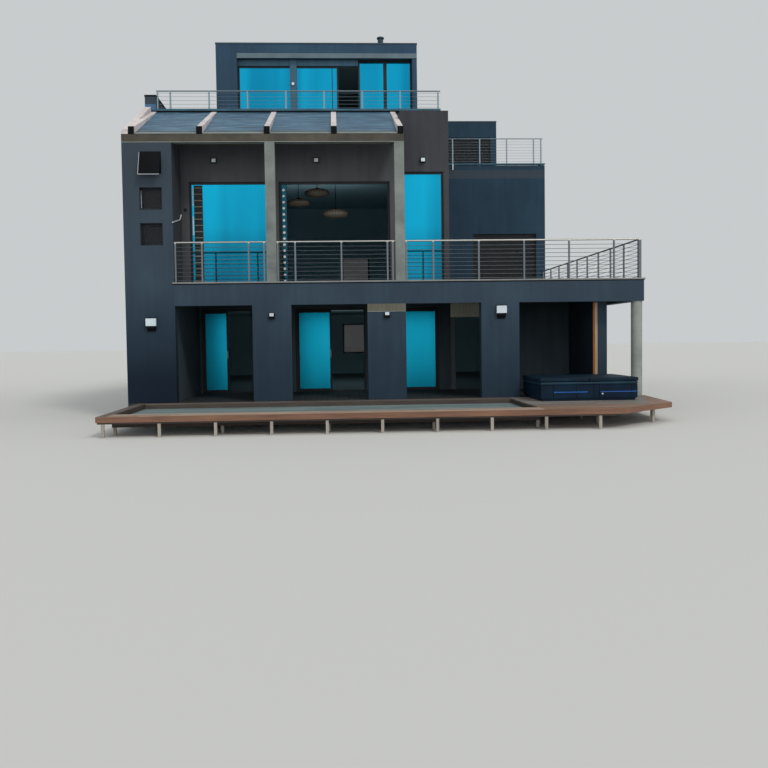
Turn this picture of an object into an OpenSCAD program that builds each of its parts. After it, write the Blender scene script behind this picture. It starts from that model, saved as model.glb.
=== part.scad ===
// Beach house on three storeys: a covered loggia behind piers, a tall living floor behind a
// balcony with a raked concrete roof, and a set-back top floor over a roof terrace.
// X runs along the facade, Y into the house, Z up. Inside the modules, X is counted from the
// outer face of the left wall, Y from the facade and Z from the ground floor's surface.

/* [Plan] */
// Width of the house, from the left wall to the right edge of the terrace
house_w = 12730; // [12600:10:13600]
// Depth of the house behind its facade
house_d = 18500; // [18200:10:20000]
// Width of the tall main part
main_w = 8040; // [7950:10:8200]
// How far the terrace reaches past the ground floor's right wall
overhang = 760; // [650:10:830]
// Thickness of an outer wall
wall_t = 250; // [200:5:300]
// Thickness of an inner wall
inner_t = 200; // [120:5:220]
// Thickness of the walls and piers in the facade
facade_t = 300; // [260:5:340]
// Depth of the balcony behind the facade
balcony_d = 1300; // [1200:10:1400]
// Depth of the ground floor loggia
loggia_d = 4000; // [3600:10:4400]
// Distance of the rear block's front from the facade
block_y = 10800; // [10000:10:11200]

/* [Facade] */
// Width of the solid block at the left end
left_block_w = 1180; // [1160:5:1220]
// Width of a ground floor opening between two piers
opening_w = 1860; // [1800:5:1900]
// Width of a pier
pier_w = 945; // [900:5:980]
// Side of the small square windows in the left block
square_win = 535; // [400:5:600]
// Height of the lowest square window above the balcony floor
square_win_sill = 910; // [700:5:1000]
// Distance from one square window to the next
square_win_pitch = 855; // [800:5:900]
// Width of a concrete column on the balcony
column_w = 240; // [180:5:260]
// Distance of the left column from the first pier's left edge
column_inset = 370; // [300:5:400]
// Diameter of the round column under the terrace corner
round_column_d = 275; // [200:5:285]

/* [Levels] */
// Height of the ground floor above the lowest ground
foundation_h = 420; // [380:10:900]
// Thickness of the foundation walls
foundation_t = 350; // [300:5:450]
// Thickness of the ground floor slab
ground_slab_t = 250; // [200:5:300]
// Clear height of the ground floor openings
opening_h = 2350; // [2320:5:2500]
// Clear height of the ground floor rooms
ground_room_h = 2600; // [2560:5:2700]
// Thickness of the first floor slab
floor_slab_t = 305; // [250:5:350]
// Height of the beam's underside above the balcony floor
beam_clear_h = 3365; // [3300:5:3500]
// Height of the front beam
beam_h = 205; // [180:5:300]
// Clear height of the first floor
first_room_h = 4345; // [4300:5:4500]
// Thickness of the roof terrace slab
terrace_slab_t = 300; // [250:5:350]
// Height of the bay's roof above the balcony floor
bay_top_h = 4435; // [4400:5:4480]
// Height of the glazing on the top floor
top_head_h = 2620; // [2500:5:2700]
// Height of the lintel over the top floor's glazing
top_lintel_h = 180; // [150:5:260]
// Height of the fascia board along the top floor's roof
top_fascia_h = 150; // [120:5:200]
// Thickness of the top floor's roof with its parapet
top_roof_t = 470; // [350:5:550]

/* [Raked roof] */
// Depth of the raked roof behind the facade
rake_d = 2950; // [2800:10:3100]
// Thickness of the raked roof
rake_t = 140; // [100:5:180]
// Height of the kerb along the front edge of the roof terrace
kerb_h = 230; // [200:5:300]
// Depth of the kerb
kerb_t = 150; // [100:5:200]
// Width of a concrete rib
rib_w = 135; // [80:5:160]
// Height of a rib at the front
rib_h = 170; // [120:5:220]
// Height of a rib where it meets the terrace edge
rib_end_h = 15; // [5:5:40]
// Number of ribs
rib_count = 5; // [3:1:7]
// Distance of the first rib's middle from the left wall's face
rib_first_x = 240; // [220:5:300]
// Width of the raked verge on the left wall
verge_t = 160; // [120:5:165]
// Height of the verge above the beam at the front
verge_front_h = 60; // [40:5:120]
// Height of the verge's rear end above the roof terrace
verge_end_h = 300; // [250:5:400]
// Width of the parapet on the left wall
parapet_t = 300; // [200:5:320]
// Height of the parapet above the roof terrace
parapet_h = 610; // [500:5:900]

/* [Loggia doors] */
// Width of the left door's leaf
small_leaf_w = 700; // [640:5:740]
// Width of a leaf of the two wide doors
wide_leaf_w = 980; // [880:5:1000]
// Distance from the left wall's face to the left door's frame
door_1_x = 1235; // [1200:5:1300]
// Distance from the left wall's face to the middle door's frame
door_2_x = 3905; // [3850:5:3950]
// Distance from the left wall's face to the right door's frame
door_3_x = 6035; // [6020:5:6100]
// Height of the door frames
door_h = 2385; // [2250:5:2420]
// Width of a door frame's jambs and head
door_jamb = 50; // [40:1:60]
// Height of a door frame's sill
door_sill = 30; // [20:1:40]
// Depth of a door frame
door_frame_d = 140; // [136:1:180]
// Thickness of a leaf
leaf_t = 50; // [40:1:54]
// Width of a leaf's stiles and rails
leaf_bar = 55; // [40:1:70]
// Overlap of the two leaves when a door is closed
leaf_overlap = 60; // [40:1:80]
// Free space round a moving leaf
leaf_gap = 6; // [5:0.5:8]
// Running gap under a leaf's rollers
roller_gap = 0.3; // [0.2:0.1:0.5]
// Thickness of a pane
pane_t = 24; // [12:1:30]
// Width of the doorway at the loggia's right end
doorway_w = 800; // [780:5:810]
// Height of that doorway
doorway_h = 2100; // [2000:5:2200]

/* [Windows] */
// Head of the two wide balcony windows above the balcony floor
balcony_head = 2640; // [2300:5:2800]
// Head of the tall window beside the right column
tall_head = 2880; // [2600:5:3000]
// Width of the left balcony window
window_a_w = 2100; // [1900:5:2150]
// Width of the middle balcony window
window_b_w = 2855; // [2700:5:2950]
// Width of the tall window
window_c_w = 1060; // [950:5:1080]
// Width of a window frame's bars
frame_bar = 55; // [40:1:70]
// Depth of a window frame
frame_d = 70; // [50:1:90]
// Width of a plain window in the side and rear walls
plain_win_w = 1200; // [900:10:1400]
// Height of a plain window
plain_win_h = 1300; // [1000:10:1400]
// Height of a plain window's sill above its floor
plain_win_sill = 900; // [800:10:1000]

/* [Top floor] */
// Distance of the top floor's front from the facade
top_y = 6900; // [6400:10:7400]
// Distance of the top floor's left wall from the left wall's face
top_x = 1445; // [1300:5:1500]
// Width of the top floor
top_w = 6315; // [6280:5:6400]
// Width of the solid wall at the left of the top floor's front
top_return_w = 655; // [500:5:800]
// Thickness of the thin wall at the right of the glazing
top_fin_t = 150; // [110:5:200]
// Setback of the glazing behind that wall
top_setback = 200; // [150:5:240]
// Depth of the lintel and posts over the glazing
lintel_t = 150; // [100:5:180]
// Distance of the rear wing's front from the facade
wing_y = 15500; // [15000:10:16000]
// Distance of the rear wing's right wall from the terrace's right edge
wing_gap = 930; // [600:10:1100]
// Clear height of the rear wing
wing_h = 2580; // [2500:5:2700]
// Thickness of the rear wing's roof
wing_roof_t = 270; // [250:5:350]
// Diameter of the steel flue
flue_d = 200; // [160:5:240]
// Height of the flue above the roof
flue_h = 694; // [500:2:1000]

/* [Railings] */
// Height of the balcony railing
rail_h = 1000; // [900:5:1100]
// Diameter of a handrail
handrail_d = 44; // [30:1:50]
// Diameter of the handrail on the roof
roof_rail_d = 34; // [26:1:40]
// Diameter of the thin bars under a handrail
bar_d = 12; // [8:1:16]
// Diameter of the thin bars on the roof
roof_bar_d = 8; // [6:1:12]
// Distance from bar to bar
bar_pitch = 100; // [80:5:120]
// Side of a railing post
post_w = 40; // [30:1:50]
// Distance from post to post
post_pitch = 1127; // [1100:1:1150]
// Distance from post to post on the roof terrace's kerb
low_post_pitch = 1043; // [1000:1:1080]
// Height of the low railing on the kerb
low_rail_h = 530; // [400:5:600]
// Height of the railing in front of the rear block's roof
block_rail_h = 990; // [850:5:1050]

/* [Deck and hot tub] */
// Depth of the timber deck in front of the house
deck_d = 4050; // [3900:10:4200]
// Right end of the sunken part of the deck
sunken_w = 9320; // [9250:10:9450]
// Step from the floor down to the sunken part
deck_step = 120; // [100:5:150]
// Distance of the deck's left edge from the left wall's face
deck_left_x = 250; // [100:10:300]
// Width of the kerb board at the deck's left end
deck_kerb_w = 200; // [150:5:250]
// Width of the ledge along the facade
ledge_w = 250; // [200:5:300]
// Width of the border boards along the front
border_w = 650; // [500:10:800]
// Distance of the spa platform's front from the facade
platform_d = 2870; // [2750:10:3000]
// Thickness of the deck boards
board_t = 28; // [20:1:40]
// Height of the deck's fascia
fascia_h = 115; // [100:5:165]
// Thickness of the fascia and riser boards
fascia_t = 25; // [18:1:30]
// Width of a deck bearer
bearer_w = 60; // [45:1:80]
// Height of a deck bearer
bearer_h = 120; // [100:5:140]
// Side of a deck post
deck_post_w = 60; // [50:1:60]
// Distance from post to post along the deck's front
deck_post_pitch = 1120; // [1080:5:1140]
// Width of the hot tub
tub_w = 2260; // [2000:10:2300]
// Depth of the hot tub
tub_d = 2000; // [1800:10:2050]
// Height of the hot tub without its cover
tub_h = 440; // [400:5:600]
// Thickness of the hot tub's cover
tub_cover_t = 90; // [60:5:120]

/* [Lights] */
// Height of the left wall light's underside above the ground floor
left_lantern_h = 1872; // [1800:2:1950]
// Height of the right wall light's underside above the ground floor
right_lantern_h = 2082; // [1900:2:2120]
// Height of the small light on the first pier
left_spot_h = 2040; // [1950:2:2100]
// Height of the small light on the second pier
right_spot_h = 2036; // [1950:2:2100]
// Height of the small lights over the balcony above its floor
balcony_light_h = 3110; // [2950:5:3200]
// How far a small light stands off its wall
spot_reach = 90; // [60:2:120]
// How far a large wall light stands off its wall
lantern_reach = 120; // [90:2:160]
// Height of a large wall light's bracket
bracket_h = 80; // [60:2:100]
// Width of a large wall light
lantern_w = 248; // [180:2:280]
// Height of a large wall light
lantern_h = 200; // [160:5:240]
// Side of a small wall light
spot_w = 122; // [80:2:140]
// Height of the left pendant lamp above the living floor
pendant_h = 2360; // [2200:5:2500]
// Height of the middle pendant lamp above the living floor
middle_pendant_h = 2620; // [2400:5:2700]
// Height of the right pendant lamp above the living floor
large_pendant_h = 2030; // [1900:5:2300]
// Distance of the left pendant lamp from the middle window's left edge
pendant_inset = 427; // [380:1:500]
// Distance from the left pendant lamp to the middle one
middle_pendant_step = 520; // [400:5:600]
// Distance from the left pendant lamp to the right one
large_pendant_step = 1030; // [950:5:1100]
// Distance of the pendant lamps from the end of the living room's front part
pendant_setback = 500; // [420:5:600]
// Diameter of the left pendant lamp
pendant_d = 640; // [500:10:700]
// Diameter of the middle pendant lamp
middle_pendant_d = 700; // [560:10:740]
// Diameter of the right pendant lamp
large_pendant_d = 760; // [660:10:800]

/* [Hidden] */
round_fn = 48;
plaster = "#3a4550";
charcoal = "#3b3b3f";
concrete = "#8d8b82";
timber = "#8a6a52";
dark_metal = "#23272b";
steel = "#b9bcbd";
glass_blue = "#2a9bc4";

ground_w = house_w - overhang;

// Levels, counted from the ground floor's surface
first_z = ground_room_h + floor_slab_t;
beam_z = first_z + beam_clear_h;
beam_top_z = beam_z + beam_h;
first_ceiling_z = first_z + first_room_h;
terrace_z = first_ceiling_z + terrace_slab_t;
kerb_z = terrace_z + kerb_h;
rake_top_z = kerb_z - 80;
kerb_drop = 70;
rake_slope = (rake_top_z - beam_top_z) / rake_d;
top_ceiling_z = terrace_z + top_head_h + top_lintel_h;
top_fascia_z = top_ceiling_z + 145;
fascia_out = 30;
parapet_z = terrace_z + parapet_h;
bay_top_z = first_z + bay_top_h;
bay_ceiling_z = bay_top_z - terrace_slab_t;

// Places along the facade
first_pier_x = left_block_w + opening_w;
pier_pitch = pier_w + opening_w;
last_pier_x = first_pier_x + 2 * pier_pitch;
rake_w = first_pier_x + pier_pitch + pier_w;
inner_x = left_block_w - inner_t;
column_1_x = first_pier_x + column_inset;
column_2_x = rake_w - column_w;
niche_y = 600;
niche_d = 3500;
partition_x = last_pier_x + pier_w - inner_t;
doorway_x = partition_x - 71 - doorway_w;
doorway_panel_x = doorway_x - 137;
window_a_x = left_block_w + 200;
window_b_x = column_1_x + column_w + 3;
window_c_x = rake_w + 50;
block_win_right = 330;
block_win_w = 2310;
block_win = [house_w - block_win_right - block_win_w, house_w - block_win_right];
block_win_h = 2345;
small_door_w = 2 * (small_leaf_w + door_jamb + leaf_gap) - leaf_overlap;
wide_door_w = 2 * (wide_leaf_w + door_jamb + leaf_gap) - leaf_overlap;
doors = [[door_1_x, small_door_w, small_leaf_w, 1], [door_2_x, wide_door_w, wide_leaf_w, 1],
    [door_3_x, wide_door_w, wide_leaf_w, -1]];
leaf_z = door_sill + leaf_gap;
leaf_h = door_h - door_jamb - leaf_gap - leaf_z;
front_track_y = loggia_d + 10;
rear_track_y = front_track_y + leaf_t + 12;
top_right_x = top_x + top_w;
glazing_y = top_y + top_setback;
top_post = [3744, 3956];
top_panes = [[top_x + top_return_w, 3850], [3850, 5277], [5900, 6760],
    [6760, top_right_x - top_fin_t]];
top_heads = [top_head_h, top_head_h, top_head_h + top_lintel_h, top_head_h + top_lintel_h];
wing_right_x = house_w - wing_gap;
wing_win_in = 2000;
wing_win = [top_right_x + wing_win_in, wing_right_x - wall_t];
wing_win_h = 2185;
flue_x = top_right_x - 1060;
tub_x = house_w - 2980;
tub_y = -1680;
column_y = 150;
column_x = house_w - 5 - round_column_d / 2;
side_rail_x = house_w - 60;

// The whole house, moved so that the middle of its footprint is the origin
module in_frame() {
    translate([-house_w / 2, (deck_d - house_d) / 2, foundation_h])
        children();
}

// A straight block between pairs of planes
module block(x, y, z) {
    translate([x[0], y[0], z[0]])
        cube([x[1] - x[0], y[1] - y[0], z[1] - z[0]]);
}

// An outline in depth and height, drawn out along the facade
module side_profile(points, x) {
    translate([x[0], 0, 0])
        rotate([90, 0, 90])
            linear_extrude(x[1] - x[0])
                polygon(points);
}

// Height of the raked roof's surface at a distance from the facade
function rake_z(y) = beam_top_z + rake_slope * y;

// A flat frame in a wall along the facade
module frame_xz(x, y, z, bar) {
    difference() {
        block(x, y, z);
        block([x[0] + bar, x[1] - bar], [y[0] - 1, y[1] + 1], [z[0] + bar, z[1] - bar]);
    }
}

// A flat frame in a side wall
module frame_yz(x, y, z, bar) {
    difference() {
        block(x, y, z);
        block([x[0] - 1, x[1] + 1], [y[0] + bar, y[1] - bar], [z[0] + bar, z[1] - bar]);
    }
}

// Openings of the plain windows: places along a wall, at a floor's height
function plain_span(at) = [at - plain_win_w / 2, at + plain_win_w / 2];
function plain_rise(floor_z) = [floor_z + plain_win_sill, floor_z + plain_win_sill + plain_win_h];
rear_places = [ground_w * 0.2, ground_w * 0.5, ground_w * 0.8];
side_places = [house_d * 0.35, house_d * 0.55, house_d * 0.8];
right_places = [house_d * 0.35, house_d * 0.55, house_d * 0.8];
terrace_places = [block_y * 0.35, block_y * 0.7];
block_places = [(block_y + house_d) / 2];
plain_depth = 110;
square_places = [for (i = [0:2]) first_z + square_win_sill + i * square_win_pitch];
square_x = [left_block_w / 2 + 75 - square_win / 2, left_block_w / 2 + 75 + square_win / 2];

module foundation_walls() {
    in_frame() color(plaster) {
        difference() {
            block([0, ground_w], [0, house_d], [-foundation_h, -ground_slab_t]);
            block([foundation_t, ground_w - foundation_t], [foundation_t, loggia_d],
                [-foundation_h - 1, 1]);
            block([foundation_t, ground_w - foundation_t],
                [loggia_d + foundation_t, house_d - foundation_t], [-foundation_h - 1, 1]);
        }
    }
}

module ground_floor_slab() {
    in_frame() color(concrete)
        block([0, ground_w], [0, house_d], [-ground_slab_t, 0]);
}

module left_front_wall() {
    in_frame() color(plaster)
        difference() {
            block([0, left_block_w], [0, facade_t], [0, beam_z]);
            for (z = square_places)
                block(square_x, [-1, facade_t + 1], [z, z + square_win]);
        }
}

module left_side_wall() {
    in_frame() color(plaster)
        difference() {
            side_profile([[facade_t, 0], [house_d - wall_t, 0], [house_d - wall_t, first_ceiling_z],
                [rake_d, first_ceiling_z], [rake_d, rake_z(rake_d) - rake_t],
                [facade_t, rake_z(facade_t) - rake_t]], [0, wall_t]);
            for (y = side_places, floor_z = [0, first_z])
                block([-1, wall_t + 1], plain_span(y), plain_rise(floor_z));
        }
}

module front_piers() {
    in_frame() color(plaster)
        for (i = [0:2])
            block([first_pier_x + i * pier_pitch, first_pier_x + i * pier_pitch + pier_w],
                [0, facade_t], [0, opening_h]);
}

// The walls at the two ends of the loggia, and the one at the back of the hot tub's niche
module loggia_side_walls() {
    in_frame() color(charcoal) {
        block([inner_x, left_block_w], [facade_t, loggia_d], [0, ground_room_h]);
        block([partition_x, partition_x + inner_t], [facade_t, loggia_d], [0, ground_room_h]);
        block([partition_x + inner_t, ground_w - wall_t], [niche_d, niche_d + inner_t],
            [0, ground_room_h]);
    }
}

// The wall pieces between the doors at the back of the loggia
module loggia_walls() {
    in_frame() color(charcoal) {
        block([wall_t, door_1_x], [loggia_d, loggia_d + inner_t], [0, door_h]);
        block([door_1_x + small_door_w, door_2_x], [loggia_d, loggia_d + inner_t], [0, door_h]);
        block([door_2_x + wide_door_w, door_3_x], [loggia_d, loggia_d + inner_t], [0, door_h]);
        block([door_3_x + wide_door_w, doorway_x], [loggia_d, loggia_d + inner_t], [0, door_h]);
        block([doorway_x + doorway_w, partition_x + inner_t], [loggia_d, loggia_d + inner_t],
            [0, door_h]);
    }
}

module loggia_lintel() {
    in_frame() color(charcoal)
        block([wall_t, partition_x + inner_t], [loggia_d, loggia_d + inner_t],
            [door_h, ground_room_h]);
}

// The pale panel over the doorway, wider than the doorway itself
module doorway_panel() {
    in_frame() color("#8f8a74") {
        block([doorway_x, doorway_x + doorway_w], [loggia_d - 20, loggia_d + inner_t],
            [doorway_h, door_h]);
        block([doorway_panel_x, doorway_x + doorway_w], [loggia_d - 20, loggia_d],
            [doorway_h, ground_room_h]);
    }
}

module ground_right_wall() {
    in_frame() color(plaster)
        difference() {
            block([ground_w - wall_t, ground_w], [niche_y, house_d - wall_t], [0, ground_room_h]);
            for (y = right_places)
                block([ground_w - wall_t - 1, ground_w + 1], plain_span(y), plain_rise(0));
        }
}

module round_column() {
    in_frame() color(concrete)
        translate([column_x, column_y, -foundation_h])
            cylinder(h = foundation_h + opening_h, d = round_column_d, $fn = round_fn);
}

module first_floor_slab() {
    in_frame() color(plaster)
        block([wall_t, house_w], [facade_t, house_d - wall_t], [ground_room_h, first_z]);
}

// The deep edge along the facade and under the slab's right side
module edge_band() {
    in_frame() color(plaster) {
        block([left_block_w, house_w], [0, facade_t], [opening_h, first_z]);
        block([house_w - facade_t, house_w], [facade_t, house_d - wall_t],
            [opening_h, ground_room_h]);
    }
}

module balcony_side_wall() {
    back = balcony_d + wall_t;
    in_frame() color(charcoal)
        side_profile([[facade_t, first_z], [back, first_z], [back, rake_z(back) - rake_t],
            [facade_t, rake_z(facade_t) - rake_t]], [inner_x, left_block_w]);
}

module balcony_wall() {
    back = balcony_d + wall_t;
    in_frame() color(charcoal)
        difference() {
            side_profile([[balcony_d, first_z], [back, first_z], [back, rake_z(back) - rake_t],
                [balcony_d, rake_z(balcony_d) - rake_t]], [left_block_w, rake_w]);
            block([window_a_x, window_a_x + window_a_w], [balcony_d - 1, back + 1],
                [first_z - 1, first_z + balcony_head]);
            block([window_b_x, window_b_x + window_b_w], [balcony_d - 1, back + 1],
                [first_z - 1, first_z + balcony_head]);
        }
}

// The wall of the narrow bay beside the raked roof, and the cheek that carries the roof's edge
module bay_wall() {
    back = balcony_d + wall_t;
    cheek_y = (bay_ceiling_z + rake_t + 1 - beam_top_z) / rake_slope;
    in_frame() color(charcoal) {
        difference() {
            block([rake_w, main_w], [balcony_d, back], [first_z, bay_top_z]);
            block([window_c_x, window_c_x + window_c_w], [balcony_d - 1, back + 1],
                [first_z - 1, first_z + tall_head]);
        }
        side_profile([[cheek_y, bay_ceiling_z], [rake_d - 0.2, bay_ceiling_z],
            [rake_d - 0.2, rake_z(rake_d) - rake_t - 0.3],
            [cheek_y, rake_z(cheek_y) - rake_t - 0.2]], [rake_w - 120, rake_w]);
    }
}

// The bay's flat roof, lower than the roof terrace
module bay_roof() {
    in_frame() color(plaster)
        block([rake_w, main_w], [balcony_d + wall_t, rake_d], [bay_ceiling_z, bay_top_z]);
}

module terrace_side_wall() {
    in_frame() color(plaster)
        difference() {
            union() {
                block([main_w - wall_t, main_w], [balcony_d + wall_t, block_y + wall_t],
                    [first_z, bay_ceiling_z]);
                block([main_w - wall_t, main_w], [rake_d, block_y + wall_t],
                    [first_z, first_ceiling_z]);
            }
            for (y = terrace_places)
                block([main_w - wall_t - 1, main_w + 1], plain_span(y), plain_rise(first_z));
        }
}

module block_walls() {
    in_frame() color(plaster)
        difference() {
            union() {
                block([main_w, house_w], [block_y, block_y + wall_t], [first_z, first_ceiling_z]);
                block([house_w - wall_t, house_w], [block_y, house_d - wall_t],
                    [first_z, first_ceiling_z]);
            }
            block(block_win, [block_y - 1, block_y + wall_t + 1], [first_z - 1, first_z + block_win_h]);
            for (y = block_places)
                block([house_w - wall_t - 1, house_w + 1], plain_span(y), plain_rise(first_z));
        }
}

module rear_wall() {
    in_frame() color(plaster)
        difference() {
            union() {
                block([0, ground_w], [house_d - wall_t, house_d], [0, ground_room_h]);
                block([0, house_w], [house_d - wall_t, house_d],
                    [ground_room_h, first_ceiling_z]);
            }
            for (x = rear_places, floor_z = [0, first_z])
                block(plain_span(x), [house_d - wall_t - 1, house_d + 1], plain_rise(floor_z));
        }
}

module concrete_columns() {
    in_frame() color(concrete)
        for (x = [column_1_x, column_2_x])
            block([x, x + column_w], [0, column_w], [first_z, beam_z]);
}

module front_beam() {
    in_frame() color(concrete)
        side_profile([[0, beam_z], [facade_t, beam_z], [facade_t, rake_z(facade_t)],
            [0, rake_z(0)]], [0, rake_w]);
}

module raked_roof() {
    in_frame() color("#6f7f8c")
        side_profile([[facade_t, rake_z(facade_t) - rake_t], [rake_d, rake_z(rake_d) - rake_t],
            [rake_d, rake_z(rake_d)], [facade_t, rake_z(facade_t)]], [verge_t, rake_w]);
}

// The ribs on the raked roof, lower at the terrace edge than at the front
module roof_ribs() {
    rib_pitch = (rake_w - 80 - rib_first_x) / (rib_count - 1);
    in_frame() color("#c9b7a6")
        for (i = [0:rib_count - 1])
            side_profile([[0, rake_z(0) + 0.2], [rake_d, rake_z(rake_d) + 0.2],
                [rake_d, rake_z(rake_d) + rib_end_h], [0, rake_z(0) + rib_h]],
                [rib_first_x + i * rib_pitch - rib_w / 2, rib_first_x + i * rib_pitch + rib_w / 2]);
}

// The raked verge that closes the roof on the left wall
module left_verge() {
    in_frame() color("#c9b7a6")
        side_profile([[0, rake_z(0)], [facade_t, rake_z(facade_t)],
            [facade_t, rake_z(facade_t) - rake_t], [rake_d, rake_z(rake_d) - rake_t],
            [rake_d, terrace_z + verge_end_h], [0, rake_z(0) + verge_front_h]], [0, verge_t]);
}

module roof_terrace_slab() {
    in_frame() color(plaster) {
        block([0, main_w], [rake_d, house_d], [first_ceiling_z, terrace_z]);
        block([main_w, house_w], [block_y, house_d], [first_ceiling_z, terrace_z]);
    }
}

// Low kerbs along the open edges of the roof terrace
module terrace_kerbs() {
    side_z = kerb_z - kerb_drop;
    in_frame() color(plaster) {
        block([parapet_t, main_w], [rake_d, rake_d + kerb_t], [terrace_z, kerb_z]);
        block([main_w - kerb_t, main_w], [rake_d + kerb_t, block_y], [terrace_z, side_z]);
        block([main_w - kerb_t, house_w], [block_y, block_y + kerb_t], [terrace_z, side_z]);
        block([house_w - kerb_t, house_w], [block_y + kerb_t, house_d], [terrace_z, side_z]);
    }
}

module left_parapet() {
    in_frame() color(plaster)
        block([0, parapet_t], [rake_d, house_d], [terrace_z, parapet_z]);
}

module top_floor_walls() {
    in_frame() color(plaster) {
        block([top_x, top_x + top_return_w], [top_y, top_y + wall_t], [terrace_z, top_ceiling_z]);
        block([top_x, top_x + wall_t], [top_y, house_d], [terrace_z, top_ceiling_z]);
        block([top_right_x - top_fin_t, top_right_x], [top_y, house_d], [terrace_z, top_ceiling_z]);
        block([top_x, top_right_x], [house_d - wall_t, house_d], [terrace_z, top_ceiling_z]);
    }
}

// The lintel and the post in front of the top floor's glazing
module top_floor_lintel() {
    left = top_x + top_return_w;
    in_frame() color(charcoal) {
        block([left, top_panes[2][0]], [glazing_y, glazing_y + lintel_t],
            [terrace_z + top_head_h, top_ceiling_z]);
        block(top_post, [glazing_y - 60, glazing_y + 38], [terrace_z, top_ceiling_z]);
    }
}

module top_floor_roof() {
    in_frame() color(plaster)
        block([top_x, top_right_x], [top_y, house_d], [top_ceiling_z, top_ceiling_z + top_roof_t]);
}

module top_floor_fascia() {
    in_frame() color("#9aa3a6")
        block([top_x + top_return_w, top_right_x], [top_y - fascia_out, top_y],
            [top_fascia_z - top_fascia_h, top_fascia_z]);
}

module wing_walls() {
    top = terrace_z + wing_h;
    in_frame() color(plaster)
        difference() {
            union() {
                block([top_right_x, wing_right_x], [wing_y, wing_y + wall_t], [terrace_z, top]);
                block([wing_right_x - wall_t, wing_right_x], [wing_y, house_d], [terrace_z, top]);
                block([top_right_x, wing_right_x], [house_d - wall_t, house_d], [terrace_z, top]);
            }
            block(wing_win, [wing_y - 1, wing_y + wall_t + 1], [terrace_z - 1, terrace_z + wing_win_h]);
        }
}

module wing_roof() {
    top = terrace_z + wing_h;
    in_frame() color(plaster)
        block([top_right_x, wing_right_x], [wing_y, house_d], [top, top + wing_roof_t]);
}

// The steel flue with its cap
module flue() {
    z = top_ceiling_z + top_roof_t;
    in_frame() color(steel)
        translate([flue_x, top_y + 1600, z]) {
            cylinder(h = flue_h - 75, d = flue_d, $fn = round_fn);
            translate([0, 0, flue_h - 75])
                cylinder(h = 75, d = flue_d * 1.22, $fn = round_fn);
        }
}

// A railing along X: a handrail, thin bars and posts at the given places
module railing(x, y, z, height, posts, rail_size = handrail_d, bar_size = bar_d) {
    count = floor((height - 60 - rail_size) / bar_pitch) + 1;
    translate([x[0], y, z + height - rail_size / 2])
        rotate([0, 90, 0])
            cylinder(h = x[1] - x[0], d = rail_size, $fn = round_fn);
    for (i = [0:count - 1])
        translate([x[0], y, z + 60 + i * bar_pitch])
            rotate([0, 90, 0])
                cylinder(h = x[1] - x[0], d = bar_size, $fn = 16);
    for (p = posts)
        block([p - post_w / 2, p + post_w / 2], [y - post_w / 2, y + post_w / 2],
            [z, z + height - rail_size / 2]);
}
first_post_x = 1850;
rail_y = 70;

// The posts of one grid that stand inside a bay, with one more at each of its ends
function bay_posts(bay, first, pitch) = concat([bay[0] + 30],
    [for (k = [0:14]) if (first + k * pitch > bay[0] + 120 && first + k * pitch < bay[1] - 180)
        first + k * pitch], [bay[1] - 60]);

// The three railings along the balcony's front, between the columns and up to the corner
module balcony_railings() {
    bays = [[left_block_w, column_1_x], [column_1_x + column_w, column_2_x],
        [rake_w, side_rail_x]];
    in_frame() color(steel)
        for (bay = bays)
            railing(bay, rail_y, first_z, rail_h, bay_posts(bay, first_post_x, post_pitch));
}

module side_railing() {
    y = [rail_y + 60, block_y];
    count = 9;
    pitch = (y[1] - y[0] - 120) / count;
    in_frame() color(steel)
        translate([side_rail_x - post_w / 2, 0, 0])
            rotate([0, 0, 90])
                railing(y, 0, first_z, rail_h, [for (i = [0:count]) y[0] + 60 + i * pitch]);
}

// The low railing on the front kerb and the one before the rear block's roof
module roof_railings() {
    low = [parapet_t, main_w];
    high = [max(main_w, top_right_x), house_w - 60];
    in_frame() color(steel) {
        railing(low, rake_d + kerb_t / 2, kerb_z, low_rail_h,
            bay_posts(low, low[0] + 373, low_post_pitch), roof_rail_d, roof_bar_d);
        railing(high, block_y + kerb_t / 2, kerb_z - kerb_drop, block_rail_h,
            bay_posts(high, high[0] + 360, 985), roof_rail_d, roof_bar_d);
    }
}

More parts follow.
